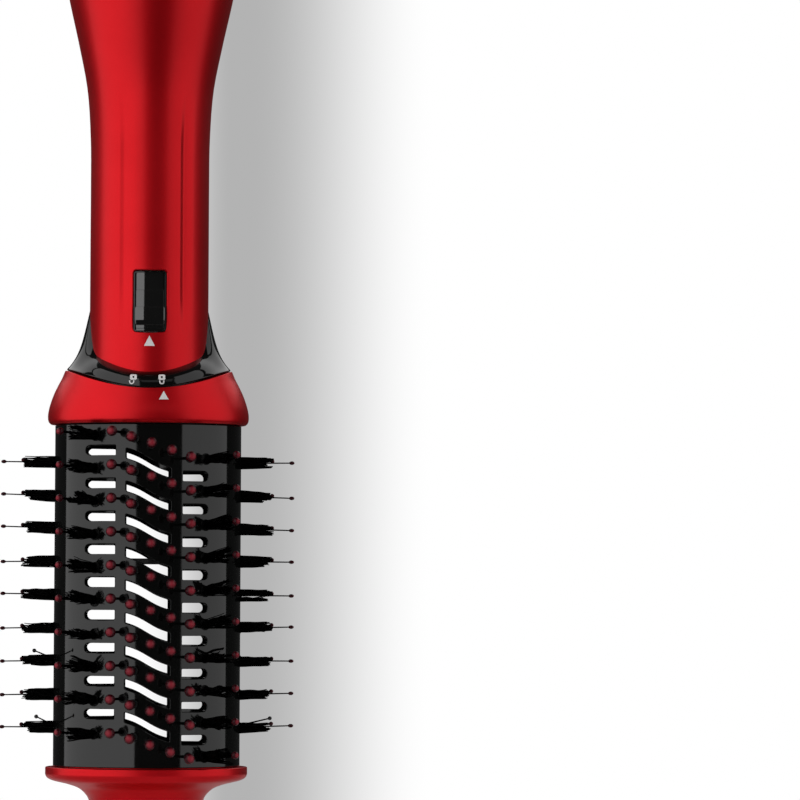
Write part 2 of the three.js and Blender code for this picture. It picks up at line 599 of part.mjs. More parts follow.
// ---- Motor and fan ------------------------------------------------------------------------------
const MOTOR_LOW_Z = 264;
const MOTOR_HIGH_Z = 298;
const SHAFT_R = 1.5;
part(handle, "motor_can", cut(
  turned([[0, MOTOR_LOW_Z], [MOTOR_R - 1, MOTOR_LOW_Z], [MOTOR_R, MOTOR_LOW_Z + 1],
    [MOTOR_R, MOTOR_HIGH_Z], [0, MOTOR_HIGH_Z]], 28),
  disc(SHAFT_R + GAP, MOTOR_LOW_Z + 10, MOTOR_HIGH_Z + PAST, 12),
), STEEL());
part(handle, "motor_shaft", disc(SHAFT_R, MOTOR_LOW_Z + 12, FAN_Z + 13, 12), STEEL());

function makeMotorMount() {
  const hub = ring(MOTOR_R + GAP, MOTOR_R + 1.8, 276, 284, 28);
  const arms = [0, 1, 2].map((index) => {
    const angle = (2 * Math.PI * index) / 3 + Math.PI / 6;
    const at = (r) => [r * Math.cos(angle), r * Math.sin(angle), 280];
    return peg(at(MOTOR_R + 1), at(21.4), 2, 2, 6);
  });
  return join(hub, ...arms);
}
part(handle, "motor_mount", makeMotorMount(), SATIN_BLACK());

part(handle, "fan_shroud", turned([
  [22, 278], [23.4, 278], [SHROUD_R + 1.4, 298], [SHROUD_R + 1.4, 320], [SHROUD_R, 320],
  [SHROUD_R, 298.3],
], 28), SATIN_BLACK());

const BLADE_COUNT = 7;
function makeFan() {
  const hub = cut(turned([[0, FAN_Z], [10, FAN_Z], [8.5, FAN_Z + 9], [5, FAN_Z + 12],
    [0, FAN_Z + 12]], 28), disc(SHAFT_R + GAP, FAN_Z - PAST, FAN_Z + 10.5 + 3, 12));
  const blades = Array.from({ length: BLADE_COUNT }, (_, index) => {
    const slab = new THREE.BoxGeometry(17, 1.3, 11).translate(16.3, 0, 0);
    const pitch = 0.85;
    slab.rotateX(pitch).rotateZ((2 * Math.PI * index) / BLADE_COUNT).translate(0, 0, FAN_Z + 5.2);
    return toSolid(slab);
  });
  return join(hub, ...blades);
}
part(handle, "fan_impeller", makeFan(), SATIN_BLACK());

// ---- Cord end -----------------------------------------------------------------------------------
const VENT_COUNT = 12;
function makeInletGrille() {
  const low = SHELL_TOP_Z + GAP;
  const band = turned([[28.3, low], [30.2, low], [29.4, 330], [27.2, GRILLE_TOP_Z],
    [19.9, GRILLE_TOP_Z], [19.9, GRILLE_TOP_Z - 1.8], [25.4, GRILLE_TOP_Z - 1.8],
    [27.5, 330]], 24);
  const slots = Array.from({ length: VENT_COUNT }, (_, index) => {
    const box = new THREE.BoxGeometry(12, 3, 9.5).translate(28, 0, 329);
    return toSolid(box.rotateZ((2 * Math.PI * (index + 0.5)) / VENT_COUNT));
  });
  return cut(band, ...slots);
}
part(handle, "inlet_grille", makeInletGrille(), SATIN_BLACK());
part(handle, "lint_filter", turned([[25.6, 323], [26.4, 323], [25.6, 330], [23.6, 335.8],
  [22.8, 335.8], [24.8, 330]], 28), SATIN_BLACK());

const HUB_R = 19.3;
function makeDial() {
  const wheel = turned([[HUB_R + GAP, DIAL_BASE_Z], [26.2, DIAL_BASE_Z], [26.6, DIAL_BASE_Z + 1],
    [24.6, DIAL_TOP_Z - 1], [23.8, DIAL_TOP_Z], [HUB_R + GAP, DIAL_TOP_Z]], 28);
  const GROOVE_COUNT = 12;
  const grooves = Array.from({ length: GROOVE_COUNT }, (_, index) => {
    const box = new THREE.BoxGeometry(2, 1.2, 14).translate(26.6, 0, DIAL_BASE_Z + 5);
    return toSolid(box.rotateZ((2 * Math.PI * (index + 0.5)) / GROOVE_COUNT));
  });
  return cut(wheel, ...grooves);
}
part(handle, "control_dial", makeDial(), BLACK());

const GLAND_R = 6.2;
part(handle, "end_cap", turned([
  [GLAND_R + GAP, 346.6], [HUB_R - 2, 346.6], [HUB_R - 2, 326], [HUB_R, 326],
  [HUB_R, DIAL_TOP_Z + GAP], [23.4, DIAL_TOP_Z + GAP], [22.6, 351.5], [18.5, CAP_TOP_Z - 0.6],
  [15, CAP_TOP_Z], [GLAND_R + GAP, CAP_TOP_Z],
], 28), BLACK());

const CORD_BORE_R = 3.6;
part(handle, "cord_swivel", turned([
  [CORD_BORE_R, 343], [9, 343], [9, 346.3], [GLAND_R, 346.3], [GLAND_R, 356.8],
  [GLAND_R - 1.2, END_Z], [CORD_BORE_R, END_Z],
], 20), RUBBER());

part(handle, "rotary_switch", block([5.6, -5, 328], [15, 5, 341]), SATIN_BLACK());
part(handle, "wire_clamp", block([-15, -4, 330], [-6, 4, 334]), SATIN_BLACK());

export default object;
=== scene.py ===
"""Looks of a hot-air styling brush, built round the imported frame.

Lengths in this file are millimetres. MM turns them into Blender's metres when a mesh is made.
The brush stands on its cool tip: +Z runs up to the cord end of the handle and the front faces -Y.
"""

import json
import math
import random

import bpy
import numpy as np
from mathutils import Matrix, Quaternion, Vector
from mathutils.bvhtree import BVHTree
from mathutils.geometry import delaunay_2d_cdt


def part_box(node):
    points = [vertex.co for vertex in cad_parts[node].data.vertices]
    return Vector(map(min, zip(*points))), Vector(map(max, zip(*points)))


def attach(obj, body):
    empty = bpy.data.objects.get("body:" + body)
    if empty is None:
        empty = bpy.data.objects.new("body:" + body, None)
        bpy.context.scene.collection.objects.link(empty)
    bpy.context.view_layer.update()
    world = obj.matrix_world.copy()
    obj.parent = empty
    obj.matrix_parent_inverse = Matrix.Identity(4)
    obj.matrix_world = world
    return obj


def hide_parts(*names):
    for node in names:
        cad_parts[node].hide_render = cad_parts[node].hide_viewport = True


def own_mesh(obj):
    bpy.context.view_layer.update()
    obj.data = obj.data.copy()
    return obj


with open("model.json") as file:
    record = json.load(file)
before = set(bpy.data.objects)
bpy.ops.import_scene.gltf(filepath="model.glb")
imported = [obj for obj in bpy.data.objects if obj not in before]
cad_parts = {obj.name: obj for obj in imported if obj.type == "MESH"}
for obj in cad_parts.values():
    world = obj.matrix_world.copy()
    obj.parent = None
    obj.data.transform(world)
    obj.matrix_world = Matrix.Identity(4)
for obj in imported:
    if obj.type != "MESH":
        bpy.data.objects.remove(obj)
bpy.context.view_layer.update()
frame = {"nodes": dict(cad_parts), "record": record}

MM = 0.001
TAU = 2 * math.pi
random.seed(11)


def box_mm(node):
    """Lowest and highest corners of a CAD node, in millimetres."""
    low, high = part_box(node)
    return low / MM, high / MM


# ---- Sizes, from the frame ---------------------------------------------------------------------
BARREL_LOW, BARREL_HIGH = box_mm("barrel")
HALF_WIDTH, HALF_DEPTH = BARREL_HIGH.x, BARREL_HIGH.y
WALL = 1.6
TIP_TOP = BARREL_LOW.z - 0.3
DOME_LOW, DOME_HIGH = box_mm("head_collar")
SHELL_LOW, SHELL_HIGH = box_mm("handle_front_shell")
SHELL_WALL = 2.1
GRIP_R = 19.45
MOUTH_SIDE_Z = DOME_HIGH.z
MOUTH_FRONT_Z = MOUTH_SIDE_Z - 6.5
TONGUE_FRONT_Z = SHELL_LOW.z
TONGUE_SIDE_Z = TONGUE_FRONT_Z + 6.9
SEAT_LOW, SEAT_HIGH = box_mm("seat_ring")
NOZZLE_LOW, NOZZLE_HIGH = box_mm("outlet_nozzle")
BEZEL_LOW, BEZEL_HIGH = box_mm("slider_bezel")
SLIDER_LOW, SLIDER_HIGH = box_mm("release_slider")
WINDOW_LOW_Z, WINDOW_HIGH_Z = BEZEL_LOW.z - 0.3, BEZEL_HIGH.z + 0.3
WINDOW_HALF = BEZEL_HIGH.x + 0.3

# Bristle and slot pattern
SLOT_ROWS, SLOT_PITCH, TOP_SLOT_Z = 9, 10.66, 122.0
PIN_ROWS, PIN_PITCH, TOP_PIN_Z = 10, 10.72, 128.0
SIDE_ROWS, SIDE_PITCH, TOP_SIDE_Z = 9, 10.8, 122.6
BALL_R = 1.72


# ---- Meshes ------------------------------------------------------------------------------------
class Build:
    """Collects vertices, faces, normals and material numbers for one object."""

    def __init__(self):
        self.points, self.normals, self.faces, self.marks = [], [], [], []
        self.count = 0

    def add(self, points, normals, faces, mark=0):
        points = np.asarray(points, float).reshape(-1, 3)
        normals = np.asarray(normals, float).reshape(-1, 3)
        self.points.append(points)
        self.normals.append(normals)
        base = self.count
        self.faces.extend([tuple(int(i) + base for i in face) for face in faces])
        self.marks.extend([mark] * len(faces))
        self.count += len(points)

    def object(self, name, materials):
        mesh = bpy.data.meshes.new(name)
        points = np.concatenate(self.points) * MM
        mesh.from_pydata(points.tolist(), [], self.faces)
        mesh.polygons.foreach_set("use_smooth", [True] * len(mesh.polygons))
        for material in materials:
            mesh.materials.append(material)
        mesh.polygons.foreach_set("material_index", self.marks)
        mesh.update()
        normals = np.concatenate(self.normals)
        lengths = np.linalg.norm(normals, axis=1, keepdims=True)
        normals = normals / np.maximum(lengths, 1e-9)
        mesh.normals_split_custom_set_from_vertices(normals.tolist())
        obj = bpy.data.objects.new(name, mesh)
        bpy.context.scene.collection.objects.link(obj)
        return obj


def place(obj, body, slot, *nodes):
    """Puts a piece on its body, in place of its CAD nodes. The slot argument is not used."""
    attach(obj, body)
    if nodes:
        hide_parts(*nodes)
    return obj


def grid_faces(rows, columns, closed=True, flip=False):
    """Quads of a grid whose rows are rings of points."""
    faces = []
    last = columns if closed else columns - 1
    for i in range(rows - 1):
        for j in range(last):
            k = (j + 1) % columns
            quad = (i * columns + j, i * columns + k, (i + 1) * columns + k, (i + 1) * columns + j)
            faces.append(quad[::-1] if flip else quad)
    return faces


def grid_normals(grid, closed=True):
    """Unit normals of a grid of points, from its own differences."""
    along = np.gradient(grid, axis=0)
    if closed:
        around = np.roll(grid, -1, 1) - np.roll(grid, 1, 1)
    else:
        around = np.gradient(grid, axis=1)
    normals = np.cross(around, along)
    return normals / np.maximum(np.linalg.norm(normals, axis=2, keepdims=True), 1e-9)


def rounded(points, cuts, steps=5):
    """A polyline whose corners are rounded, each by the distance given for it. Any dimension."""
    points = [np.asarray(p, float) for p in points]
    path = [points[0]]
    for i in range(1, len(points) - 1):
        before, corner, after = points[i - 1:i + 2]
        if cuts[i] <= 0:
            path.append(corner)
            continue
        start = corner + (before - corner) * min(0.48, cuts[i] / np.linalg.norm(before - corner))
        end = corner + (after - corner) * min(0.48, cuts[i] / np.linalg.norm(after - corner))
        for t in np.linspace(0, 1, steps + 1):
            path.append((1 - t) ** 2 * start + 2 * t * (1 - t) * corner + t * t * end)
    path.append(points[-1])
    return np.array(path)


def spline(points, steps=8):
    """A Catmull-Rom curve through every point, in any dimension."""
    p = np.asarray(points, float)
    p = np.vstack([2 * p[0] - p[1], p, 2 * p[-1] - p[-2]])
    path = []
    for i in range(1, len(p) - 2):
        for t in np.linspace(0, 1, steps, endpoint=False):
            a, b, c, d = p[i - 1:i + 3]
            path.append(0.5 * (2 * b + (c - a) * t + (2 * a - 5 * b + 4 * c - d) * t ** 2
                               + (3 * b - a - 3 * c + d) * t ** 3))
    path.append(p[-2])
    return np.array(path)


def saddle_grid(profile, segments=160):
    """Rings of points. Each profile row is (side radius, side height, front radius, front height)."""
    angle = np.linspace(0, TAU, segments, endpoint=False)
    c, s = np.cos(angle), np.sin(angle)
    side_r, side_z, front_r, front_z = [profile[:, k, None] for k in range(4)]
    x = side_r * c
    y = front_r * s
    z = front_z + (side_z - front_z) * c ** 2
    return np.stack([x, y, z], axis=2)


def turned_profile(points):
    """A saddle profile of a round, level shape from (radius, height) rows."""
    p = np.asarray(points, float)
    return np.column_stack([p[:, 0], p[:, 1], p[:, 0], p[:, 1]])


def split_sharp(profile, limit_degrees=38):
    """Cuts a profile where it turns sharply, so that each run is shaded smoothly by itself."""
    runs, start = [], 0
    limit = math.cos(math.radians(limit_degrees))
    for i in range(1, len(profile) - 1):
        u = profile[i] - profile[i - 1]
        v = profile[i + 1] - profile[i]
        if np.dot(u, v) < limit * np.linalg.norm(u) * np.linalg.norm(v):
            runs.append(profile[start:i + 1])
            start = i
    runs.append(profile[start:])
    return runs


def add_loft(build, profile, segments=160, mark=0):
    """Adds a body of revolution or saddle loft. The profile runs up the outside."""
    for run in split_sharp(np.asarray(profile, float)):
        grid = saddle_grid(run, segments)
        normals = grid_normals(grid)
        build.add(grid, normals, grid_faces(len(run), segments), mark)


def add_turned(build, points, cuts, steps, segments):
    """Adds a round, level body from (radius, height) corners and how far each is rounded."""
    add_loft(build, rounded(turned_profile(points), cuts, steps), segments)


def tube(build, path, radii, sides=8, mark=0):
    """A round bar along a path, with a radius at each point."""
    path = np.asarray(path, float)
    tangent = np.gradient(path, axis=0)
    tangent /= np.maximum(np.linalg.norm(tangent, axis=1, keepdims=True), 1e-9)
    up = np.array([0.0, 0.0, 1.0]) if abs(tangent[0][2]) < 0.9 else np.array([1.0, 0.0, 0.0])
    first = np.cross(tangent, up)
    first /= np.linalg.norm(first, axis=1, keepdims=True)
    second = np.cross(tangent, first)
    angle = np.linspace(0, TAU, sides, endpoint=False)
    ring = (first[:, None] * np.cos(angle)[None, :, None]
            + second[:, None] * np.sin(angle)[None, :, None])
    grid = path[:, None] + ring * np.asarray(radii, float)[:, None, None]
    build.add(grid, ring, grid_faces(len(path), sides, flip=True), mark)
    face = list(range(sides))
    for end, way in ((0, -1), (len(path) - 1, 1)):
        build.add(grid[end], np.tile(tangent[end] * way, (sides, 1)),
                  [face if way < 0 else face[::-1]], mark)


def ball(build, centre, radius, mark=0, stretch=(1, 1, 1), rings=8, sides=12):
    """A smooth ball whose poles are closed with triangles."""
    centre = np.asarray(centre, float)
    theta = np.linspace(0, math.pi, rings + 1)[1:-1]
    angle = np.linspace(0, TAU, sides, endpoint=False)
    unit = np.stack([np.sin(theta)[:, None] * np.cos(angle), np.sin(theta)[:, None] * np.sin(angle),
                     np.cos(theta)[:, None] * np.ones(sides)], axis=2).reshape(-1, 3)
    unit = np.vstack([unit, [0, 0, 1], [0, 0, -1]])
    faces = grid_faces(rings - 1, sides, flip=True)
    top, bottom = len(unit) - 2, len(unit) - 1
    last = (rings - 2) * sides
    for j in range(sides):
        k = (j + 1) % sides
        faces.append((top, j, k))
        faces.append((bottom, last + k, last + j))
    scale = np.asarray(stretch, float) * radius
    build.add(centre + unit * scale, unit / np.asarray(stretch, float), faces, mark)


# ---- Pierced walls -----------------------------------------------------------------------------
# A wall is a sheet of (u, v) in millimetres, laid on a surface by a function. Its outline and its
# holes are rounded over at the outer edge, run through the wall, and close on an inner sheet.
EDGE_STEPS = 4


def loop_offsets(loop, into_left):
    """Unit directions in the sheet, at each point of a closed loop, into the wall's material."""
    after = np.roll(loop, -1, 0) - loop
    before = loop - np.roll(loop, 1, 0)
    after /= np.linalg.norm(after, axis=1, keepdims=True)
    before /= np.linalg.norm(before, axis=1, keepdims=True)
    along = after + before
    along /= np.linalg.norm(along, axis=1, keepdims=True)
    side = np.column_stack([-along[:, 1], along[:, 0]])
    stretch = 1 / np.maximum(0.5, np.sum(side * np.column_stack([-after[:, 1], after[:, 0]]), axis=1))
    return side * stretch[:, None] * (1 if into_left else -1)


def inside_loop(points, loop):
    """True for each point that a closed loop holds."""
    x, y = points[:, 0], points[:, 1]
    held = np.zeros(len(points), bool)
    for (x0, y0), (x1, y1) in zip(loop, np.roll(loop, -1, 0)):
        crosses = (y0 > y) != (y1 > y)
        if abs(y1 - y0) > 1e-12:
            held ^= crosses & (x < (x1 - x0) * (y - y0) / (y1 - y0) + x0)
    return held


def sheet_faces(border, holes, spacing):
    """Triangles of the sheet inside a border and outside the holes, and its points."""
    low, high = border.min(0), border.max(0)
    us = np.arange(low[0] + spacing[0], high[0] - spacing[0] / 2, spacing[0])
    vs = np.arange(low[1] + spacing[1], high[1] - spacing[1] / 2, spacing[1])
    spots = np.array([(u, v) for u in us for v in vs]).reshape(-1, 2)
    keep = inside_loop(spots, border)
    for loop in [border, *holes]:
        near = np.min(np.linalg.norm(spots[:, None] - loop[None], axis=2), axis=1)
        keep &= near > min(spacing) * 0.45
    for hole in holes:
        keep &= ~inside_loop(spots, hole)
    points, edges = [], []
    for loop in [border, *holes]:
        base = len(points)
        points.extend(loop.tolist())
        edges.extend([(base + i, base + (i + 1) % len(loop)) for i in range(len(loop))])
    points.extend(spots[keep].tolist())
    made = delaunay_2d_cdt([Vector(p) for p in points], edges, [], 1, 1e-6, False)
    flat = np.array([tuple(v) for v in made[0]])
    faces = np.array([f for f in made[2] if len(f) == 3])
    middles = flat[faces].mean(axis=1)
    stays = inside_loop(middles, border)
    for hole in holes:
        stays &= ~inside_loop(middles, hole)
    faces = faces[stays]
    a, b, c = flat[faces[:, 0]], flat[faces[:, 1]], flat[faces[:, 2]]
    turn = (b - a)[:, 0] * (c - a)[:, 1] - (b - a)[:, 1] * (c - a)[:, 0]
    faces[turn < 0] = faces[turn < 0][:, ::-1]
    return flat, faces


def frame_at(surface, uv, depth):
    """Positions and the sheet's normal and two tangents at (u, v) points."""
    step = 0.05
    here = surface(uv, depth)
    along_u = surface(uv + [step, 0], depth) - surface(uv - [step, 0], depth)
    along_v = surface(uv + [0, step], depth) - surface(uv - [0, step], depth)
    along_u /= np.linalg.norm(along_u, axis=1, keepdims=True)
    along_v /= np.linalg.norm(along_v, axis=1, keepdims=True)
    normal = np.cross(along_u, along_v)
    normal /= np.linalg.norm(normal, axis=1, keepdims=True)
    return here, normal, along_u, along_v


def edge_stops(bevel, thick):
    """(inset, depth, turn) rows of an edge that is rounded over and then runs through a wall."""
    turns = np.linspace(0, math.pi / 2, EDGE_STEPS + 1)
    stops = [(bevel * (1 - math.sin(t)), bevel * (1 - math.cos(t)), t) for t in turns]
    return stops + [(0, thick, math.pi / 2)]


def add_sheets(build, surface, outer, loops, thick, spacing, mark=0):
    """Adds a wall's outer and inner faces. Both lists of loops start with the border."""
    flat, faces = sheet_faces(outer[0], outer[1:], spacing)
    here, normal, _, _ = frame_at(surface, flat, 0)
    build.add(here, normal, faces, mark)
    flat, faces = sheet_faces(loops[0], loops[1:], spacing)
    here, normal, _, _ = frame_at(surface, flat, thick)
    build.add(here, -normal, faces[:, ::-1], mark)


def add_edge(build, surface, loop, move, stops, flip=False, mark=0):
    """Adds the edge of one loop, from the outer face to the inner one."""
    unit = move / np.linalg.norm(move, axis=1, keepdims=True)
    rows, row_normals = [], []
    for shift, depth, t in stops:
        here, normal, along_u, along_v = frame_at(surface, loop + move * shift, depth)
        out = -(along_u * unit[:, :1] + along_v * unit[:, 1:])
        rows.append(here)
        row_normals.append(normal * math.cos(t) + out * math.sin(t))
    faces = grid_faces(len(rows), len(loop), flip=flip)
    build.add(np.array(rows), np.array(row_normals), faces, mark)


def add_wall(build, surface, border, holes, thick, bevel, spacing, mark=0):
    """Adds a pierced wall. border runs anticlockwise in (u, v), and so does each hole."""
    loops = [border, *holes]
    moves = [loop_offsets(loop, loop is border) for loop in loops]
    outer = [loop + move * bevel for loop, move in zip(loops, moves)]
    add_sheets(build, surface, outer, loops, thick, spacing, mark)
    for loop, move in zip(loops, moves):
        add_edge(build, surface, loop, move, edge_stops(bevel, thick), loop is border, mark)


def rectangle(u0, u1, v0, v1, spacing):
    """An anticlockwise rectangle with points along its sides."""
    across = max(2, int(round((u1 - u0) / spacing[0])))
    up = max(2, int(round((v1 - v0) / spacing[1])))
    us, vs = np.linspace(u0, u1, across + 1), np.linspace(v0, v1, up + 1)
    bottom = [(u, v0) for u in us[:-1]]
    right = [(u1, v) for v in vs[:-1]]
    top = [(u, v1) for u in us[:0:-1]]
    left = [(u0, v) for v in vs[:0:-1]]
    return np.array(bottom + right + top + left)


def round_box(u0, u1, v0, v1, radii, steps=5):
    """An anticlockwise box whose corners are rounded: radii of its lower left, lower right,
    upper right and upper left corners."""
    corners = [(u0, v0, radii[0], 180), (u1, v0, radii[1], 270),
               (u1, v1, radii[2], 0), (u0, v1, radii[3], 90)]
    points = []
    for (u, v, r, start) in corners:
        cu = u + r if u == u0 else u - r
        cv = v + r if v == v0 else v - r
        for t in np.linspace(start, start + 90, steps + 1):
            a = math.radians(t)
            points.append((cu + r * math.cos(a), cv + r * math.sin(a)))
    return np.array(points)


def refine(loop, longest):
    """A closed loop with no side longer than the length given."""
    points = []
    for a, b in zip(loop, np.roll(loop, -1, 0)):
        parts = max(1, int(math.ceil(np.linalg.norm(b - a) / longest)))
        points.extend([a + (b - a) * i / parts for i in range(parts)])
    return np.array(points)


# ---- Materials ---------------------------------------------------------------------------------
class Nodes:
    """A short way to write a node material."""

    def __init__(self, name):
        self.material = bpy.data.materials.new(name)
        self.material.use_nodes = True
        self.tree = self.material.node_tree
        self.shader = self.tree.nodes["Principled BSDF"]
        self.place = self.add("ShaderNodeTexCoord").outputs["Object"]

    def add(self, kind, **settings):
        node = self.tree.nodes.new(kind)
        for key, value in settings.items():
            setattr(node, key, value)
        return node

    def link(self, source, target):
        self.tree.links.new(source, target)

    def noise(self, scale, detail=4.0, rough=0.55, stretch=(1, 1, 1)):
        """Noise in object space. Scale is in features per metre."""
        mapping = self.add("ShaderNodeMapping")
        mapping.inputs["Scale"].default_value = stretch
        self.link(self.place, mapping.inputs["Vector"])
        noise = self.add("ShaderNodeTexNoise")
        noise.inputs["Scale"].default_value = scale
        noise.inputs["Detail"].default_value = detail
        noise.inputs["Roughness"].default_value = rough
        self.link(mapping.outputs["Vector"], noise.inputs["Vector"])
        return noise.outputs["Fac"]

    def spread(self, source, low, high, start=0.3, end=0.7):
        """Stretches a value from one range to another, which is a noise's range by default."""
        node = self.add("ShaderNodeMapRange")
        for key, value in (("From Min", start), ("From Max", end), ("To Min", low), ("To Max", high)):
            node.inputs[key].default_value = value
        self.link(source, node.inputs["Value"])
        return node.outputs["Result"]

    def mix(self, factor, low, high):
        """A colour between two, by a factor. Each is three numbers or another node's output."""
        node = self.add("ShaderNodeMix", data_type="RGBA")
        for number, tone in ((6, low), (7, high)):
            if isinstance(tone, tuple):
                node.inputs[number].default_value = (*tone, 1)
            else:
                self.link(tone, node.inputs[number])
        self.link(factor, node.inputs[0])
        return node.outputs[2]

    def bump(self, source, height, strength=1.0):
        """Bump whose height is in metres."""
        node = self.add("ShaderNodeBump")
        node.inputs["Distance"].default_value = height
        node.inputs["Strength"].default_value = strength
        self.link(source, node.inputs["Height"])
        self.link(node.outputs["Normal"], self.shader.inputs["Normal"])

    def set(self, **values):
        """Sets plain shader inputs. An underscore stands for a space."""
        for key, value in values.items():
            self.shader.inputs[key.replace("_", " ")].default_value = value

    def feed(self, **sources):
        """Links other nodes' outputs to shader inputs, which are named as in set."""
        for key, source in sources.items():
            self.link(source, self.shader.inputs[key.replace("_", " ")])


def plastic(name, low, high, rough, scale, bump=0.0, **values):
    """Moulded plastic: two tones, uneven gloss and a fine moulded grain."""
    n = Nodes(name)
    cloud = n.noise(scale, 5)
    grain = n.noise(scale * 14, 3)
    n.feed(Base_Color=n.mix(n.spread(cloud, 0, 1), low, high), Roughness=n.spread(grain, *rough))
    if bump:
        n.bump(grain, bump)
    n.set(**values)
    return n.material


def metallic_red():
    """Satin metallic lacquer: deep red with fine flake under a soft clear coat."""
    n = Nodes("metallic_red_lacquer")
    flake = n.noise(5200, 2, 0.7)
    cloud = n.noise(38, 4)
    tone = n.mix(n.spread(cloud, 0, 1), (0.62, 0.004, 0.009), (0.68, 0.006, 0.012))
    sparkle = n.add("ShaderNodeMix", data_type="RGBA", blend_type="MULTIPLY")
    sparkle.inputs[0].default_value = 1.0
    n.link(tone, sparkle.inputs[6])
    n.link(n.mix(n.spread(flake, 0, 1, 0.35, 0.65), (0.9, 0.86, 0.86), (1, 1, 1)), sparkle.inputs[7])
    n.feed(Base_Color=sparkle.outputs[2], Roughness=n.spread(flake, 0.34, 0.44))
    n.bump(flake, 0.0000025, 0.5)
    n.set(Metallic=0.85, Coat_Weight=0.12, Coat_Roughness=0.22, Specular_IOR_Level=0.3)
    return n.material


def gloss_black(name, coat=0.0):
    """Polished black plastic with hairline wiping marks in its gloss."""
    n = Nodes(name)
    hair = n.noise(900, 6, 0.7, (1, 1, 0.08))
    cloud = n.noise(60, 4)
    tone = n.mix(n.spread(cloud, 0, 1), (0.0018, 0.002, 0.0018), (0.0034, 0.0036, 0.0034))
    n.feed(Base_Color=tone, Roughness=n.spread(hair, 0.04, 0.1))
    n.bump(hair, 0.0000012, 0.3)
    n.set(IOR=1.5 + 0.2 * coat, Coat_Weight=coat, Coat_Roughness=0.04)
    return n.material


def brushed(name, low, high, stretch):
    """Metal with a brushed or turned grain."""
    n = Nodes(name)
    grain = n.noise(1400, 6, 0.7, stretch)
    n.feed(Base_Color=n.mix(n.spread(grain, 0, 1), low, high), Roughness=n.spread(grain, 0.22, 0.4))
    n.bump(grain, 0.000004, 0.5)
    n.set(Metallic=1.0)
    return n.material


def ball_red():
    """Dark red resin of the ball tips, with painted light in its colour: a painted highlight on the
    crown, which points away from the brush, and painted shade on the rim.
    """
    n = Nodes("ball_tip_resin_painted_highlight")
    cloud = n.noise(700, 3)
    coordinates = n.add("ShaderNodeTexCoord")
    flat = n.add("ShaderNodeVectorMath", operation="MULTIPLY")
    flat.inputs[1].default_value = (1, 1, 0)
    n.link(n.place, flat.inputs[0])
    outward = n.add("ShaderNodeVectorMath", operation="NORMALIZE")
    n.link(flat.outputs[0], outward.inputs[0])
    painted_highlight_crown = n.add("ShaderNodeVectorMath", operation="DOT_PRODUCT")
    n.link(coordinates.outputs["Normal"], painted_highlight_crown.inputs[0])
    n.link(outward.outputs[0], painted_highlight_crown.inputs[1])
    tone = n.mix(n.spread(cloud, 0, 1), (0.24, 0.018, 0.03), (0.3, 0.028, 0.042))
    # Painted highlight and painted shade: the base colour runs from a dark rim to the resin's tone on
    # the crown that faces outward.
    lit = n.spread(painted_highlight_crown.outputs["Value"], 0, 1, 0.62, 1.0)
    n.feed(Base_Color=n.mix(lit, (0.03, 0.0015, 0.004), tone), Roughness=n.spread(cloud, 0.16, 0.24))
    n.set(Specular_IOR_Level=0.14)
    return n.material


def mesh_cloth():
    """Fine woven filter mesh."""
    n = Nodes("woven_filter_mesh")
    wave = n.add("ShaderNodeTexWave", wave_type="BANDS", bands_direction="DIAGONAL")
    wave.inputs["Scale"].default_value = 900
    n.link(n.place, wave.inputs["Vector"])
    threads = wave.outputs["Fac"]
    n.feed(Base_Color=n.mix(threads, (0.004,) * 3, (0.06,) * 3), Roughness=n.spread(threads, 0.6, 0.85))
    n.bump(threads, 0.0001, 0.8)
    return n.material


RED = metallic_red()
BLACK = gloss_black("gloss_black_plastic")
SWITCH = gloss_black("lacquered_switch_black", 1.0)
SATIN = plastic("satin_black_plastic", (0.012, 0.012, 0.013), (0.024, 0.024, 0.025), (0.36, 0.5),
                90, 0.00001)
NYLON = plastic("black_nylon", (0.006, 0.006, 0.007), (0.016, 0.015, 0.015), (0.42, 0.6), 260,
                Specular_IOR_Level=0.35)
RESIN = ball_red()
STEEL = brushed("turned_steel", (0.42, 0.43, 0.44), (0.68, 0.69, 0.7), (0.06, 0.06, 1))
BRASS = brushed("plain_brass", (0.5, 0.34, 0.13), (0.7, 0.5, 0.22), (1, 1, 0.1))
MICA = plastic("mica_sheet", (0.42, 0.36, 0.25), (0.62, 0.56, 0.42), (0.4, 0.7), 160, 0.00003)
BOARD = plastic("circuit_board_resin", (0.01, 0.11, 0.035), (0.02, 0.19, 0.07), (0.35, 0.5), 200,
                0.00002)
RUBBER = plastic("soft_rubber", (0.012, 0.012, 0.012), (0.022, 0.022, 0.022), (0.62, 0.8), 240,
                 0.00002)
FILTER = mesh_cloth()
INK = plastic("white_print_ink", (0.78, 0.76, 0.76), (0.9, 0.88, 0.88), (0.45, 0.6), 500)

SLOT_MATERIALS = {
    "red_paint": RED, "gloss_black": BLACK, "satin_black": SATIN, "nylon_bristle": NYLON,
    "steel": STEEL, "mica": MICA, "brass": BRASS, "board": BOARD, "filter_mesh": FILTER,
    "rubber": RUBBER,
}


def dress_frame():
    """Gives each CAD node that stays in view the finish of its material slot."""
    slots = {part["node"]: part["material_slot"] for part in frame["record"]["subparts"]}
    for name, node in frame["nodes"].items():
        node.data.materials.clear()
        node.data.materials.append(SLOT_MATERIALS[slots[name]])


# ---- Camera, lights and floor ------------------------------------------------------------------
CAMERA_AT = Vector((-15, -1400, 79))
AIM_AT = Vector((82.8, 0, 143.9))
ROLL_DEGREES = 0.22
FRAME_WIDTH = 264.0  # what the picture spans at the brush's axis
SENSOR = 36.0


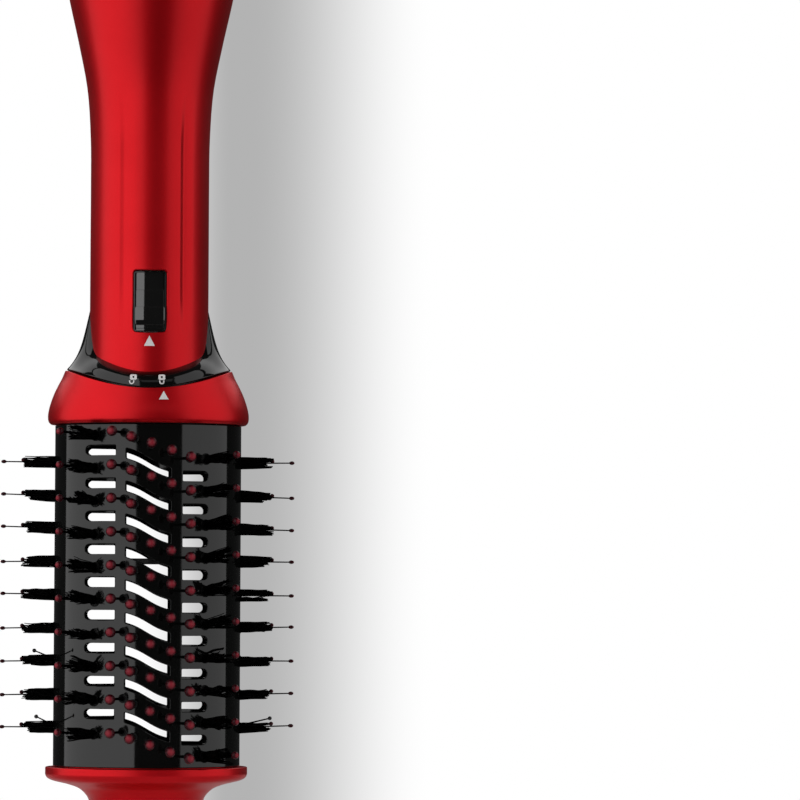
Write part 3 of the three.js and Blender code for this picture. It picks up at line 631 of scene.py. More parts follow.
def make_camera():
    """The camera. Its lens shows FRAME_WIDTH at the distance of AIM_AT."""
    data = bpy.data.cameras.new("camera")
    data.sensor_width = SENSOR
    away = (AIM_AT - CAMERA_AT).length
    data.lens = SENSOR * away / FRAME_WIDTH
    data.clip_end = 20
    camera = bpy.data.objects.new("camera", data)
    camera.location = CAMERA_AT * MM
    camera.rotation_mode = "QUATERNION"
    level = (AIM_AT - CAMERA_AT).to_track_quat("-Z", "Y")
    camera.rotation_quaternion = level @ Quaternion((0, 0, 1), math.radians(ROLL_DEGREES))
    bpy.context.scene.collection.objects.link(camera)
    bpy.context.scene.camera = camera


def panel(name, centre, aim, width, height, radiance):
    """A rectangular area light at a point, aimed at another, that the camera doesn't see."""
    data = bpy.data.lights.new(name, "AREA")
    data.shape = "RECTANGLE"
    data.size, data.size_y = width * MM, height * MM
    data.energy = radiance * math.pi * width * height * MM * MM
    light = bpy.data.objects.new(name, data)
    light.location = Vector(centre) * MM
    light.rotation_mode = "QUATERNION"
    light.rotation_quaternion = (Vector(aim) - Vector(centre)).to_track_quat("-Z", "Y")
    light.visible_camera = False
    bpy.context.scene.collection.objects.link(light)


def around(degrees, distance, height=0.0):
    """A point at an angle from straight ahead of the front, positive to +X."""
    a = math.radians(degrees)
    return Vector((distance * math.sin(a), -distance * math.cos(a), height))


def softbox(name, start, end, low, high, radiance):
    """An upright area light between two floor points, square to the line that joins them."""
    middle = (start + end) / 2
    middle.z = (low + high) / 2
    along = (end - start).normalized()
    facing = Vector((-along.y, along.x, 0))
    if facing.dot(middle) > 0:
        facing = -facing
    panel(name, middle, middle + facing, (end - start).length, high - low, radiance)


def make_lights():
    """Softboxes at both sides and behind, and a weaker fill from the front."""
    softbox("left_softbox", around(-11, 2300), around(-106, 1300), -400, 2300, 1.25)
    softbox("right_softbox", around(32, 2300), around(97, 1300), -400, 2300, 0.9)
    softbox("back_left_softbox", around(-112, 1800), around(-166, 1800), 700, 2300, 1.0)
    softbox("back_right_softbox", around(108, 1800), around(165, 1800), 700, 2300, 1.0)
    panel("front_fill", around(10, 1900, 760), (0, 0, 120), 1300, 560, 0.34)


# The backdrop is white, with a painted soft grey shadow to the right of the brush. Each row is how far
# a line of sight leans to +X, and the backdrop's brightness there.
SHADE = [(0.008, 1.0), (0.03, 0.45), (0.034, 0.45), (0.078, 1.0)]
AMBIENT = 0.035  # the light that surfaces get from all round


def make_world():
    """Dim light for the surfaces, and a backdrop that only the camera sees, with a painted shadow."""
    world = bpy.data.worlds.new("studio")
    bpy.context.scene.world = world
    world.use_nodes = True
    tree = world.node_tree
    ambient = tree.nodes["Background"]
    ambient.inputs["Color"].default_value = (1, 1, 1, 1)
    ambient.inputs["Strength"].default_value = AMBIENT
    split = tree.nodes.new("ShaderNodeSeparateXYZ")
    tree.links.new(tree.nodes.new("ShaderNodeTexCoord").outputs["Generated"], split.inputs[0])
    lean = tree.nodes.new("ShaderNodeMath")
    lean.operation = "DIVIDE"
    tree.links.new(split.outputs["X"], lean.inputs[0])
    tree.links.new(split.outputs["Y"], lean.inputs[1])
    steps = []
    for (start, bright), (end, after) in (SHADE[:2], SHADE[2:]):
        step = tree.nodes.new("ShaderNodeMapRange")
        step.interpolation_type = "SMOOTHSTEP"
        for key, value in (("From Min", start), ("From Max", end), ("To Min", bright),
                           ("To Max", after)):
            step.inputs[key].default_value = value
        tree.links.new(lean.outputs[0], step.inputs["Value"])
        steps.append(step.outputs["Result"])
    # The painted shadow on the backdrop: the darker of the two steps wins.
    shade = tree.nodes.new("ShaderNodeMath")
    shade.operation = "MAXIMUM"
    for number, result in enumerate(steps):
        tree.links.new(result, shade.inputs[number])
    seen = tree.nodes.new("ShaderNodeBackground")
    seen.inputs["Color"].default_value = (1, 1, 1, 1)
    tree.links.new(shade.outputs[0], seen.inputs["Strength"])
    path = tree.nodes.new("ShaderNodeLightPath")
    mix = tree.nodes.new("ShaderNodeMixShader")
    tree.links.new(path.outputs["Is Camera Ray"], mix.inputs[0])
    tree.links.new(ambient.outputs[0], mix.inputs[1])
    tree.links.new(seen.outputs[0], mix.inputs[2])
    tree.links.new(mix.outputs[0], tree.nodes["World Output"].inputs["Surface"])


GROUND_Z = -0.05
FLOOR_SOLID, FLOOR_REACH = 90, 225  # radii where the floor starts to fade and where it ends


def make_floor():
    """A pale round floor that fades out into the background."""
    build = Build()
    rings, sides = 24, 96
    radii = np.linspace(0, FLOOR_REACH, rings + 1)[1:]
    angle = np.linspace(0, TAU, sides, endpoint=False)
    grid = np.stack([radii[:, None] * np.cos(angle), radii[:, None] * np.sin(angle),
                     np.full((rings, sides), GROUND_Z)], axis=2)
    build.add(grid, np.tile([0, 0, 1.0], (rings * sides, 1)), grid_faces(rings, sides, flip=True))
    build.add(np.vstack([grid[0], [[0, 0, GROUND_Z]]]), np.tile([0, 0, 1.0], (sides + 1, 1)),
              [(j, (j + 1) % sides, sides) for j in range(sides)])
    n = Nodes("pale_floor")
    grain = n.noise(30, 3)
    n.link(n.mix(n.spread(grain, 0, 1), (0.68, 0.68, 0.68), (0.72, 0.72, 0.72)),
           n.shader.inputs["Base Color"])
    length = n.add("ShaderNodeVectorMath", operation="LENGTH")
    n.link(n.place, length.inputs[0])
    fade = n.spread(length.outputs["Value"], 1, 0, FLOOR_SOLID * MM, FLOOR_REACH * MM)
    n.link(fade, n.shader.inputs["Alpha"])
    n.set(Roughness=0.9, Specular_IOR_Level=0.1, Emission_Color=(1, 1, 1, 1), Emission_Strength=0.12)
    floor = build.object("floor", [n.material])


# ---- Barrel ------------------------------------------------------------------------------------
TABLE_SIZE = 4001
_turn = np.linspace(-math.pi, math.pi, TABLE_SIZE)
_ring = np.column_stack([HALF_WIDTH * np.sin(_turn), -HALF_DEPTH * np.cos(_turn)])
_arc = np.concatenate([[0], np.cumsum(np.linalg.norm(np.diff(_ring, axis=0), axis=1))])
_arc -= _arc[TABLE_SIZE // 2]
GIRTH = _arc[-1] - _arc[0]


def barrel_surface(uv, depth):
    """u runs round the oval from the middle of the front, towards +X; v is the height."""
    u = (uv[:, 0] - _arc[0]) % GIRTH + _arc[0]
    turn = np.interp(u, _arc, _turn)
    nx, ny = HALF_DEPTH * np.sin(turn), -HALF_WIDTH * np.cos(turn)
    length = np.hypot(nx, ny)
    x = HALF_WIDTH * np.sin(turn) - depth * nx / length
    y = -HALF_DEPTH * np.cos(turn) - depth * ny / length
    return np.column_stack([x, y, uv[:, 1]])


def u_of_x(x):
    """Arc length from the middle of the front to a point whose X is given."""
    return np.interp(np.arcsin(np.clip(np.asarray(x, float) / HALF_WIDTH, -1, 1)), _turn, _arc)


def surface_y(x):
    """Depth of the barrel's front surface at X, as a positive number."""
    return HALF_DEPTH * np.sqrt(1 - (np.asarray(x, float) / HALF_WIDTH) ** 2)


SLOT_HALF = 1.62
SLOT_ROUND, SLOT_SQUARE = 1.58, 0.35  # corner radii of a slot's round and square ends
LEFT_SLOT_RISE, RIGHT_SLOT_RISE, MIDDLE_SLOT_BEND = 4.1, -4.2, 3.15
BARREL_BEVEL = 0.28
BARREL_RIM_POINTS = 200


def bent_slot(x0, x1, rise0, rise1, corners, wave=0.0):
    """A slot outline in (x, z): straight or gently S-shaped, with square or round ends."""
    outline = refine(round_box(x0, x1, -SLOT_HALF, SLOT_HALF, corners, 4), 1.2)
    t = np.clip((outline[:, 0] - x0) / (x1 - x0), 0, 1)
    outline[:, 1] += rise0 + (rise1 - rise0) * (t - wave * np.sin(TAU * t) / TAU)
    return outline


def slot_outlines():
    """The three slots of a row, in (x, z) about the row's middle."""
    left = bent_slot(-20.5, -10.7, LEFT_SLOT_RISE, LEFT_SLOT_RISE,
                     (SLOT_ROUND, SLOT_SQUARE, SLOT_SQUARE, SLOT_ROUND))
    middle = bent_slot(-7.4, 7.2, MIDDLE_SLOT_BEND, -MIDDLE_SLOT_BEND, (SLOT_SQUARE,) * 4, wave=0.35)
    right = bent_slot(11.1, 19.3, RIGHT_SLOT_RISE, RIGHT_SLOT_RISE,
                      (SLOT_SQUARE, SLOT_ROUND, SLOT_ROUND, SLOT_SQUARE))
    return [left, middle, right]


def make_barrel():
    """The slotted oval sleeve: its two faces, the edges of its slots and its two rims."""
    build = Build()
    spacing = (1.5, 4.0)
    low, high = BARREL_LOW.z, BARREL_HIGH.z
    holes = []
    for row in range(SLOT_ROWS):
        z = TOP_SLOT_Z - row * SLOT_PITCH
        for outline in slot_outlines():
            front = np.column_stack([u_of_x(outline[:, 0]), outline[:, 1] + z])
            back = np.column_stack([GIRTH / 2 - u_of_x(outline[:, 0]), outline[:, 1] + z])[::-1]
            holes += [front, back]
    # The sheet's seam runs up the left side, where no slot crosses it.
    seam = -GIRTH / 4
    border = rectangle(seam, seam + GIRTH, low + BARREL_BEVEL, high - BARREL_BEVEL, spacing)
    moves = [loop_offsets(hole, False) for hole in holes]
    outer = [hole + move * BARREL_BEVEL for hole, move in zip(holes, moves)]
    stops = edge_stops(BARREL_BEVEL, WALL)
    add_sheets(build, barrel_surface, [border, *outer], [border, *holes], WALL, spacing)
    for hole, move in zip(holes, moves):
        add_edge(build, barrel_surface, hole, move, stops)
    for edge, way in ((low, -1), (high, 1)):
        add_barrel_rim(build, edge, way, stops)
    obj = build.object("barrel_sleeve", [BLACK])
    place(obj, "brush_head", "gloss_black", "barrel")


def add_barrel_rim(build, edge, way, stops):
    """The rounded rim at the barrel's lower end, where way is -1, or at its upper end."""
    around_u = np.linspace(0, GIRTH, BARREL_RIM_POINTS, endpoint=False)
    rows, row_normals = [], []
    for shift, depth, t in stops:
        uv = np.column_stack([around_u, np.full(len(around_u), edge - way * shift)])
        here, normal, _, _ = frame_at(barrel_surface, uv, depth)
        rows.append(here)
        row_normals.append(normal * math.cos(t) + np.array([0, 0, way]) * math.sin(t))
    rim_faces = grid_faces(len(rows), len(around_u), flip=way < 0)
    build.add(np.array(rows), np.array(row_normals), rim_faces)


# ---- Bristles ----------------------------------------------------------------------------------
# Tip X and rise of the five pins in a row, and how far each foot stands to the right of its tip.
ROW_PINS = [(-12.1, 3.7, 4.1), (-5.85, 1.95, 1.2), (0.7, 0.0, 0.0), (7.2, -2.3, -0.2),
            (13.35, -4.4, -0.4)]
PIN_TIP_Y = 36.6
STEM_R = 0.42
HAIR_STEPS = 7


def flared_boss(build, foot, way, radius=1.05):
    """The small raised collar that a pin or tuft stands in."""
    way = way / np.linalg.norm(way)
    reach = [-0.6, 0.0, 0.22, 0.45, 0.62]
    widths = [1.6, 1.45, 1.25, 1.02, 0.7]
    tube(build, [foot + way * r for r in reach], [radius * w for w in widths], 14)


def pin(build, foot, tip, ball_r=BALL_R, stem_r=STEM_R, stretch=1.0, ball_mark=1):
    """A nylon stem with a ball on its end. Mark 0 is nylon and 1 the ball's resin."""
    foot, tip = np.asarray(foot, float), np.asarray(tip, float)
    way = (tip - foot) / np.linalg.norm(tip - foot)
    ts = np.linspace(-0.12, 1, 6)
    path = [foot + (tip - foot) * t for t in ts]
    tube(build, path, stem_r * np.array([1.5, 1.25, 1.05, 1, 0.95, 0.9]), 8)
    ball(build, tip, ball_r, ball_mark, 1 + (stretch - 1) * np.abs(way))


CLUMPS = 10


def tuft(build, root, way, length, hairs, root_r, spread, hair_r, wave):
    """A bundle of wavy bristles. They hang together in clumps that end at uneven lengths."""
    root, way = np.asarray(root, float), np.asarray(way, float)
    way = way / np.linalg.norm(way)
    side = np.cross(way, [0, 0, 1.0])
    side /= np.linalg.norm(side)
    up = np.cross(side, way)
    ts = np.linspace(0, 1, HAIR_STEPS + 1)
    for _ in range(CLUMPS):
        clump_turn = random.uniform(0, TAU)
        clump_share = math.sqrt(random.uniform(0.05, 1))
        clump_reach = random.uniform(0.7, 1.0)
        phase, waves = random.uniform(0, TAU), random.uniform(0.8, 1.8)
        bend = random.uniform(-0.5, 0.7) * wave
        for _ in range(hairs // CLUMPS):
            turn = clump_turn + random.gauss(0, 0.3)
            share = min(1.1, max(0.0, clump_share + random.gauss(0, 0.16)))
            reach = length * clump_reach * random.uniform(0.93, 1.04)
            sway = wave * np.sqrt(ts) * np.sin(phase + random.gauss(0, 0.35) + waves * TAU * ts)
            away = share * (root_r + spread * ts) + bend * ts ** 2
            path = (root + np.outer(ts * reach, way)
                    + np.outer(away * math.cos(turn) + sway * math.sin(turn), side)
                    + np.outer(away * math.sin(turn) + sway * math.cos(turn), up))
            tube(build, path, hair_r * (1 - 0.3 * ts ** 2), 5)


# Foot X and rise of the two tufts in a row, the way each leans, and its longer pin's X, Y and rise.
ROW_TUFTS = [
    {"foot": (-17.4, 3.0), "way": (-9.4, -13.0, 1.1), "pin": (-28.7, -29.5, 3.7)},
    {"foot": (18.6, -4.5), "way": (8.6, -13.5, 1.0), "pin": (28.1, -30.0, -3.5)},
]
ROW_TUFT_LENGTH = 14.5


def row_bristles(build, z, mirror):
    """One row of pins and tufts on the front, or on the back where mirror is -1."""
    flip = np.array([1, mirror, 1.0])
    for x, rise, lean in ROW_PINS:
        foot = np.array([x + lean, -surface_y(x + lean), z + rise])
        tip = np.array([x, -PIN_TIP_Y, z + rise])
        flared_boss(build, foot * flip, (tip - foot) * flip)
        pin(build, foot * flip, tip * flip)
    for row_tuft in ROW_TUFTS:
        x, rise = row_tuft["foot"]
        foot = np.array([x, -surface_y(x), z + rise])
        way = np.array(row_tuft["way"]) + [0, 0, random.uniform(-0.5, 0.5)]
        flared_boss(build, foot * flip, way * flip, 1.35)
        tuft(build, foot * flip, way * flip, ROW_TUFT_LENGTH, 90, 1.3, 1.0, 0.17, 0.5)
        pin_x, pin_y, pin_rise = row_tuft["pin"]
        pin(build, foot * flip, np.array([pin_x, pin_y, z + pin_rise]) * flip, 1.25)


RAIL_X, RAIL_Y = 9.2, 18.2


def rails(build, mirror):
    """The two inner rails that the rows of stems are rooted in."""
    for x in (-RAIL_X, RAIL_X):
        path = [(x, -RAIL_Y * mirror, z) for z in np.linspace(TIP_TOP + 4, TOP_PIN_Z + 1.5, 12)]
        tube(build, path, [0.95] * 12, 12)


def make_face_bristles(name, node, mirror):
    """The rows of pins and tufts of one face, and their rails."""
    build = Build()
    for row in range(PIN_ROWS):
        row_bristles(build, TOP_PIN_Z - row * PIN_PITCH, mirror)
    rails(build, mirror)
    place(build.object(name, [NYLON, RESIN]), "brush_head", "nylon_bristle", node)


SIDE_TUFT_END = 41.3
SIDE_PIN_END = 47.2
# Rows that have one stray pin bent out of its tuft, and the side that it is on.
STRAY_PINS = {(-1, 6): (-36.6, -14, 3.4), (-1, 8): (-35.8, -15, 3.8), (1, 8): (40.0, -9, 3.2)}


def make_side_bristles(name, node, way):
    """One narrow side's tufts and pins. way is -1 on the left and 1 on the right."""
    build = Build()
    for row in range(SIDE_ROWS):
        z = TOP_SIDE_Z - row * SIDE_PITCH + random.uniform(-0.15, 0.15)
        root = np.array([way * (HALF_WIDTH - 0.2), 0, z])
        lean = random.uniform(-0.4, 0.4)
        out = np.array([way * 11.0, 0, lean])
        flared_boss(build, root, out, 1.5)
        tuft(build, root, out, SIDE_TUFT_END - HALF_WIDTH, 100, 1.75, -0.2, 0.19, 0.3)
        tip = np.array([way * SIDE_PIN_END, 0, z + 1.4 * lean])
        pin(build, root, tip, 0.6, 0.22, 1.5)
        short_tip = np.array([way * (SIDE_TUFT_END - 0.4), 3.4, z + 0.7 + lean])
        pin(build, root, short_tip, 0.7, 0.3)
        if (way, row) in STRAY_PINS:
            x, y, rise = STRAY_PINS[way, row]
            pin(build, root + [0, -1.2, 0.6], np.array([x, y, z + rise]), 0.66, 0.25, 1.0, 0)
    place(build.object(name, [NYLON, RESIN]), "brush_head", "nylon_bristle", node)


# ---- Cool tip and head collar ------------------------------------------------------------------
TIP_NECK_R = 18.5
TIP_BORE_R, TIP_FLOOR_Z = 14.5, 4
SPIGOT_GAP, SPIGOT_RISE = 0.3, 1.2
TIP_FOOT_CUT, TIP_RIM_CUT = 1.3, 0.6


def make_tip():
    """The cool tip: a round neck, a flare to an oval flange, and a spigot inside the barrel."""
    wide, deep, _ = box_mm("tip_cap")[1]
    top, spigot_top = TIP_TOP, TIP_TOP + SPIGOT_RISE
    flare = spline([
        (TIP_NECK_R, 9.5, TIP_NECK_R, 9.5), (18.65, 11.8, 18.6, 11.8), (19.2, 13.4, 18.8, 13.4),
        (20.5, 15.0, 19.3, 15.0), (22.4, 16.4, 20.2, 16.4), (25.8, 17.6, 22.0, 17.6),
        (30.4, 18.7, 24.2, 18.7), (wide - 0.7, 19.6, deep - 0.6, 19.6),
        (wide - 0.05, 20.7, deep - 0.05, 20.7), (wide, 21.8, deep, 21.8)], 6)
    rim = [(wide, top, deep, top)]
    spigot_x, spigot_y = HALF_WIDTH - WALL - SPIGOT_GAP, HALF_DEPTH - WALL - SPIGOT_GAP
    start = [(0, 0, 0, 0), (TIP_NECK_R, 0, TIP_NECK_R, 0), (TIP_NECK_R, 3, TIP_NECK_R, 3)]
    end = [(spigot_x, top, spigot_y, top), (spigot_x, spigot_top, spigot_y, spigot_top)]
    inside = turned_profile([(TIP_BORE_R, spigot_top), (TIP_BORE_R, TIP_FLOOR_Z), (0, TIP_FLOOR_Z)])
    keys = np.vstack([start, flare, rim, end, inside])
    cuts = [0, TIP_FOOT_CUT] + [0] * (len(flare) + 1) + [TIP_RIM_CUT, 0, 0.3, 0.3, 0, 0]
    build = Build()
    add_loft(build, rounded(keys, cuts, 8))
    place(build.object("cool_tip", [RED, INK]), "brush_head", "red_paint", "tip_cap")


DOME_KEYS = [
    (31.9, 135.0, 24.9, 135.0), (32.7, 135.9, 25.45, 135.8), (32.95, 137.6, 25.6, 137.2),
    (32.65, 139.9, 25.55, 138.9), (31.95, 142.4, 25.3, 140.6), (30.9, 145.2, 24.95, 142.2),
    (29.65, 147.8, 24.55, 143.7), (28.4, 150.2, 24.2, 145.0), (27.35, 152.7, 23.8, 146.2),
]


def tree_of(grid):
    """A search tree of a grid of points whose rows are rings."""
    rows, columns = grid.shape[:2]
    faces = grid_faces(rows, columns)
    return BVHTree.FromPolygons(grid.reshape(-1, 3).tolist(), faces)


def add_decal(build, tree, outline, holes, mark, rise=0.09):
    """A thin printed shape on the front of a surface. outline and holes are loops of (x, z)."""
    flat, faces = sheet_faces(outline, holes, (0.5, 0.5))
    lines = [tree.ray_cast((x, -60, z), (0, 1, 0)) for x, z in flat]
    here = np.array([hit[0] for hit in lines])
    out = np.array([hit[1] for hit in lines])
    out *= np.where(out[:, 1:2] > 0, -1, 1)
    build.add(here + out * rise, out, faces, mark)
    for loop in [outline, *holes]:
        lines = [tree.ray_cast((x, -60, z), (0, 1, 0)) for x, z in loop]
        edge = np.array([hit[0] for hit in lines])
        rows = np.array([edge + [0, -rise, 0], edge + [0, rise, 0]])
        outward = loop - loop.mean(0)
        outward = np.column_stack([outward[:, 0], np.zeros(len(loop)), outward[:, 1]])
        build.add(rows, np.array([outward, outward]), grid_faces(2, len(loop)), mark)


def triangle(x, z, width, height):
    """An upright triangle as a loop of (x, z), from the middle of its base."""
    corners = np.array([(x - width / 2, z), (x + width / 2, z), (x, z + height)])
    return refine(corners, 0.6)


def circle(x, z, radius, count=20):
    """The points of a circle, anticlockwise."""
    angle = np.linspace(0, TAU, count, endpoint=False)
    return np.column_stack([x + radius * np.cos(angle), z + radius * np.sin(angle)])


LOCK_HALF_WIDTH, LOCK_HEIGHT = 1.1, 1.75
BOW_OUTER_R, BOW_INNER_R, BOW_DROP, LEG_DROP = 0.85, 0.45, 0.55, 0.12


def add_padlock(build, tree, x, z, mark, open_by):
    """A padlock with its body above its shackle. An open one has its shackle moved aside."""
    body = round_box(x - LOCK_HALF_WIDTH, x + LOCK_HALF_WIDTH, z, z + LOCK_HEIGHT, (0.45,) * 4, 4)
    add_decal(build, tree, refine(body, 0.5), [circle(x, z + 0.9, 0.34, 14)], mark)
    bow = x + open_by
    angle = np.linspace(math.pi, TAU, 13)
    arc = np.column_stack([np.cos(angle), np.sin(angle)])
    outer = [bow, z - BOW_DROP] + BOW_OUTER_R * arc
    inner = ([bow, z - BOW_DROP] + BOW_INNER_R * arc)[::-1]
    legs_right = [(bow + BOW_OUTER_R, z - LEG_DROP), (bow + BOW_INNER_R, z - LEG_DROP)]
    legs_left = [(bow - BOW_INNER_R, z - LEG_DROP), (bow - BOW_OUTER_R, z - LEG_DROP)]
    loop = np.vstack([outer, legs_right, inner, legs_left])
    add_decal(build, tree, loop, [], mark)


def make_dome():
    """The head collar: an oval dome with a round mouth that dips at the front and the back."""
    low = DOME_LOW.z
    outer = spline(DOME_KEYS, 7)
    bore = SEAT_HIGH.x + 0.3
    start = [(28.8, low, 22.4, low)]
    lip = [(26.9, MOUTH_SIDE_Z - 0.1, 23.35, MOUTH_FRONT_Z - 0.1), (bore, 151.9, bore, 145.9),
           (bore, 142, bore, 142), (28.8, 142, 22.4, 142), (28.8, low, 22.4, low)]
    keys = np.vstack([start, outer, lip])
    cuts = [0, 0.3] + [0] * (len(outer) - 2) + [0.2, 0.2, 0.4, 0, 0, 0]
    build = Build()
    add_loft(build, rounded(keys, cuts, 5))
    tree = tree_of(saddle_grid(outer, 360))
    add_decal(build, tree, triangle(4.6, 142.4, 3.1, 2.8), [], 1)
    place(build.object("head_collar_dome", [RED, INK]), "brush_head", "red_paint", "head_collar")


# ---- Outlet collar -----------------------------------------------------------------------------
WING_RISE = 15.0
WING_NARROWNESS = 15
BAND_SHARE = 1.6  # how far round the sides the steep band gives way to the slow swing of a wing
RIM_SIDE, RIM_FRONT = 26.8, 23.5
RIM_GAP = 0.45
FLARE_TUCK_R, FLARE_TUCK_Z = 0.25, 0.6  # how far its top is tucked under the shells
FLARE_ANGLES = 360
LATCH_LOW, LATCH_HIGH = box_mm("latch_bolt")
OUTLET_BORE_R = 15.6
NOTCH_GAP, NOTCH_SIDE_GAP = 0.35, 0.5


def flare_bore(angle):
    """Radius of the collar's bore, with a flat notch at the front that the latch bolt runs in."""
    notch = (NOTCH_GAP - LATCH_LOW.y) / np.maximum(-np.sin(angle), 0.1)
    half = LATCH_HIGH.x + NOTCH_SIDE_GAP
    inside = (np.sin(angle) < 0) & (np.abs(notch * np.cos(angle)) < half)
    return np.where(inside, notch, OUTLET_BORE_R)


def flare_rows(steps):
    """Rings of the flared collar, from where it leaves the grip down to its rim."""
    angle = np.linspace(0, TAU, FLARE_ANGLES, endpoint=False)
    share = np.cos(angle) ** 2
    tongue_z = TONGUE_FRONT_Z + (TONGUE_SIDE_Z - TONGUE_FRONT_Z) * share
    start_z = tongue_z + FLARE_TUCK_Z + WING_RISE * share ** WING_NARROWNESS
    rim_z = MOUTH_FRONT_Z + RIM_GAP + (MOUTH_SIDE_Z - MOUTH_FRONT_Z) * share
    rim_r = RIM_FRONT + (RIM_SIDE - RIM_FRONT) * share
    start_r = GRIP_R - FLARE_TUCK_R
    rows = []
    for t in steps:
        wing = 0.6 * t + 0.4 * t ** 5
        band = 1 - (1 - t) ** 4
        swing = band + (wing - band) * share ** BAND_SHARE
        r = start_r + (rim_r - start_r) * swing
        rows.append((r, start_z + (rim_z - start_z) * t))
    last_r, last_z = rows[-1]
    closing = [(last_r, last_z - 0.12), (last_r - 0.15, last_z - 0.3), (last_r - 0.4, last_z - 0.36)]
    bore_r = flare_bore(angle)
    under = [closing[-1], (bore_r, last_z + 0.5)]
    bore = [under[-1], (bore_r, start_z), rows[0]]

    def grid(levels):
        return np.stack([np.column_stack([r * np.cos(angle), r * np.sin(angle), z])
                         for r, z in levels])

    return grid(rows + closing), grid(under), grid(bore[:2]), grid(bore[1:])


LOCK_Z = 148.75


def make_flare():
    """The gloss black outlet collar: it leaves the grip under the tongue and has two side wings."""
    build = Build()
    grids = flare_rows(np.linspace(0, 1, 26))
    for grid in grids:
        faces = grid_faces(len(grid), FLARE_ANGLES, flip=True)
        build.add(grid, -grid_normals(grid), faces)
    tree = tree_of(grids[0])
    add_padlock(build, tree, -5.2, LOCK_Z, 1, -0.55)
    add_padlock(build, tree, 3.95, LOCK_Z, 1, 0.0)
    obj = build.object("flared_outlet_collar", [BLACK, INK])
    place(obj, "handle", "gloss_black", "outlet_collar")


SEAT_GROOVE_LOW_R, SEAT_GROOVE_HIGH_R, SEAT_GROOVE_DEPTH = 17.2, 18.4, 0.5
NOZZLE_BORE_R, NOZZLE_GROOVE = 13.0, 0.25


def make_seat():
    """The seat ring: grooved below, with a top that follows the collar's dip."""
    low, r, inner = SEAT_LOW.z, SEAT_HIGH.x, OUTLET_BORE_R
    groove = low + SEAT_GROOVE_DEPTH
    below = turned_profile([
        (inner, low), (SEAT_GROOVE_LOW_R, low), (SEAT_GROOVE_LOW_R + 0.1, groove),
        (SEAT_GROOVE_HIGH_R - 0.1, groove), (SEAT_GROOVE_HIGH_R, low), (r, low)])
    inner_top = (inner, 150.8, inner, 146.5)
    keys = np.vstack([[inner_top], below, [(r, 151.5, r, 146.6)], [inner_top]])
    build = Build()
    add_loft(build, rounded(keys, [0, 0.3, 0.15, 0, 0, 0.15, 0.5, 0, 0], 4), 128)
    place(build.object("outlet_seat_ring", [SATIN]), "handle", "satin_black", "seat_ring")


def make_nozzle():
    """The steel hot-air outlet, with one rolled groove near its end."""
    low, high, r, bore = NOZZLE_LOW.z, NOZZLE_HIGH.z, NOZZLE_HIGH.x, NOZZLE_BORE_R
    dip = r - NOZZLE_GROOVE
    keys = [(bore, high), (bore, low), (r, low), (r, low + 3), (dip, low + 3.2), (dip, low + 3.9),
            (r, low + 4.1), (r, high), (bore, high)]
    build = Build()
    add_turned(build, keys, [0, 0.4, 0.6, 0.05, 0.05, 0.05, 0.05, 0.2, 0], 4, 128)
    place(build.object("steel_outlet_nozzle", [STEEL]), "handle", "steel", "outlet_nozzle")


# ---- Handle shells -----------------------------------------------------------------------------
BODY_KEYS = [
    (19.45, 196.0), (19.45, 214.0), (19.6, 229.0), (20.7, 245.0), (23.55, 260.0), (27.0, 275.6),
    (29.6, 290.0), (30.85, 303.0), (30.85, 312.0), (30.3, 322.0),
]
_body = spline(BODY_KEYS, 12)
TONGUE_FADE_Z = 190  # the height where the sheet's rows no longer bend with the tongue
CREASES = ((-9.9, 0.5), (10.9, 0.7))  # arc length from the middle of the front, and depth
CREASE_LOW_Z, CREASE_LOW_FADE, CREASE_HIGH_Z, CREASE_HIGH_FADE = 164, 14, 244, 18
CREASE_HALF_WIDTH = 0.9
CREASE_RUN = 3.8  # the width over which the surface comes back up behind a crease


def body_radius(z):
    """Outer radius of the handle at a height."""
    return np.interp(z, _body[:, 1], _body[:, 0])


def shell_surface(uv, depth):
    """u is the angle round the grip times its radius, from the front; v is the height."""
    u, v = uv[:, 0], uv[:, 1]
    turn = u / GRIP_R
    fade = np.clip((TONGUE_FADE_Z - v) / (TONGUE_FADE_Z - TONGUE_SIDE_Z), 0, 1)
    z = v - (TONGUE_SIDE_Z - TONGUE_FRONT_Z) * np.cos(turn) ** 2 * fade
    r = body_radius(z) - depth
    span = np.clip((z - CREASE_LOW_Z) / CREASE_LOW_FADE, 0, 1)
    span = span * np.clip((CREASE_HIGH_Z - z) / CREASE_HIGH_FADE, 0, 1)
    for middle, groove in CREASES:
        drop = np.clip((u - middle + CREASE_HALF_WIDTH) / (2 * CREASE_HALF_WIDTH), 0, 1)
        back = np.clip((u - middle - CREASE_HALF_WIDTH) / CREASE_RUN, 0, 1)
        r = r - groove * span * drop ** 2 * (3 - 2 * drop) * (1 - back) ** 1.5
    return np.column_stack([r * np.sin(turn), -r * np.cos(turn), z])


def front_v(height):
    """The sheet's v at which the middle of the front stands at a height."""
    v = np.linspace(TONGUE_SIDE_Z, 320, 400)
    z = shell_surface(np.column_stack([np.zeros(400), v]), 0)[:, 2]
    return float(np.interp(height, z, v))


SHELL_SPACING = (0.8, 4.0)
SHELL_BEVEL = 0.35
SCREW_X, SCREW_Z, SCREW_SEAT_Y = 13.5, 250.0, 10.0
SCREW_HOLE_R, SCREW_BOSS_R, SHANK_HOLE_R = 2.5, 3.1, 1.7
SCREW_HEAD_R, SCREW_HEAD_RISE, SHANK_R = 2.15, 2.2, 1.3
SEAM = 0.015
QUARTER = math.pi / 2 * GRIP_R
LIP_HALF, LIP_THICK, LIP_GAP = 1.2, 0.5, 0.05


def screw_spot(x):
    """The (u, v) of a screw hole on the rear shell."""
    turn = math.pi - math.asin(x / body_radius(SCREW_Z))
    return np.array([turn * GRIP_R, SCREW_Z])


def lip_surface(uv, depth):
    """The surface of the strips behind the seams, which keep light out."""
    return shell_surface(uv, depth + SHELL_WALL + LIP_GAP)


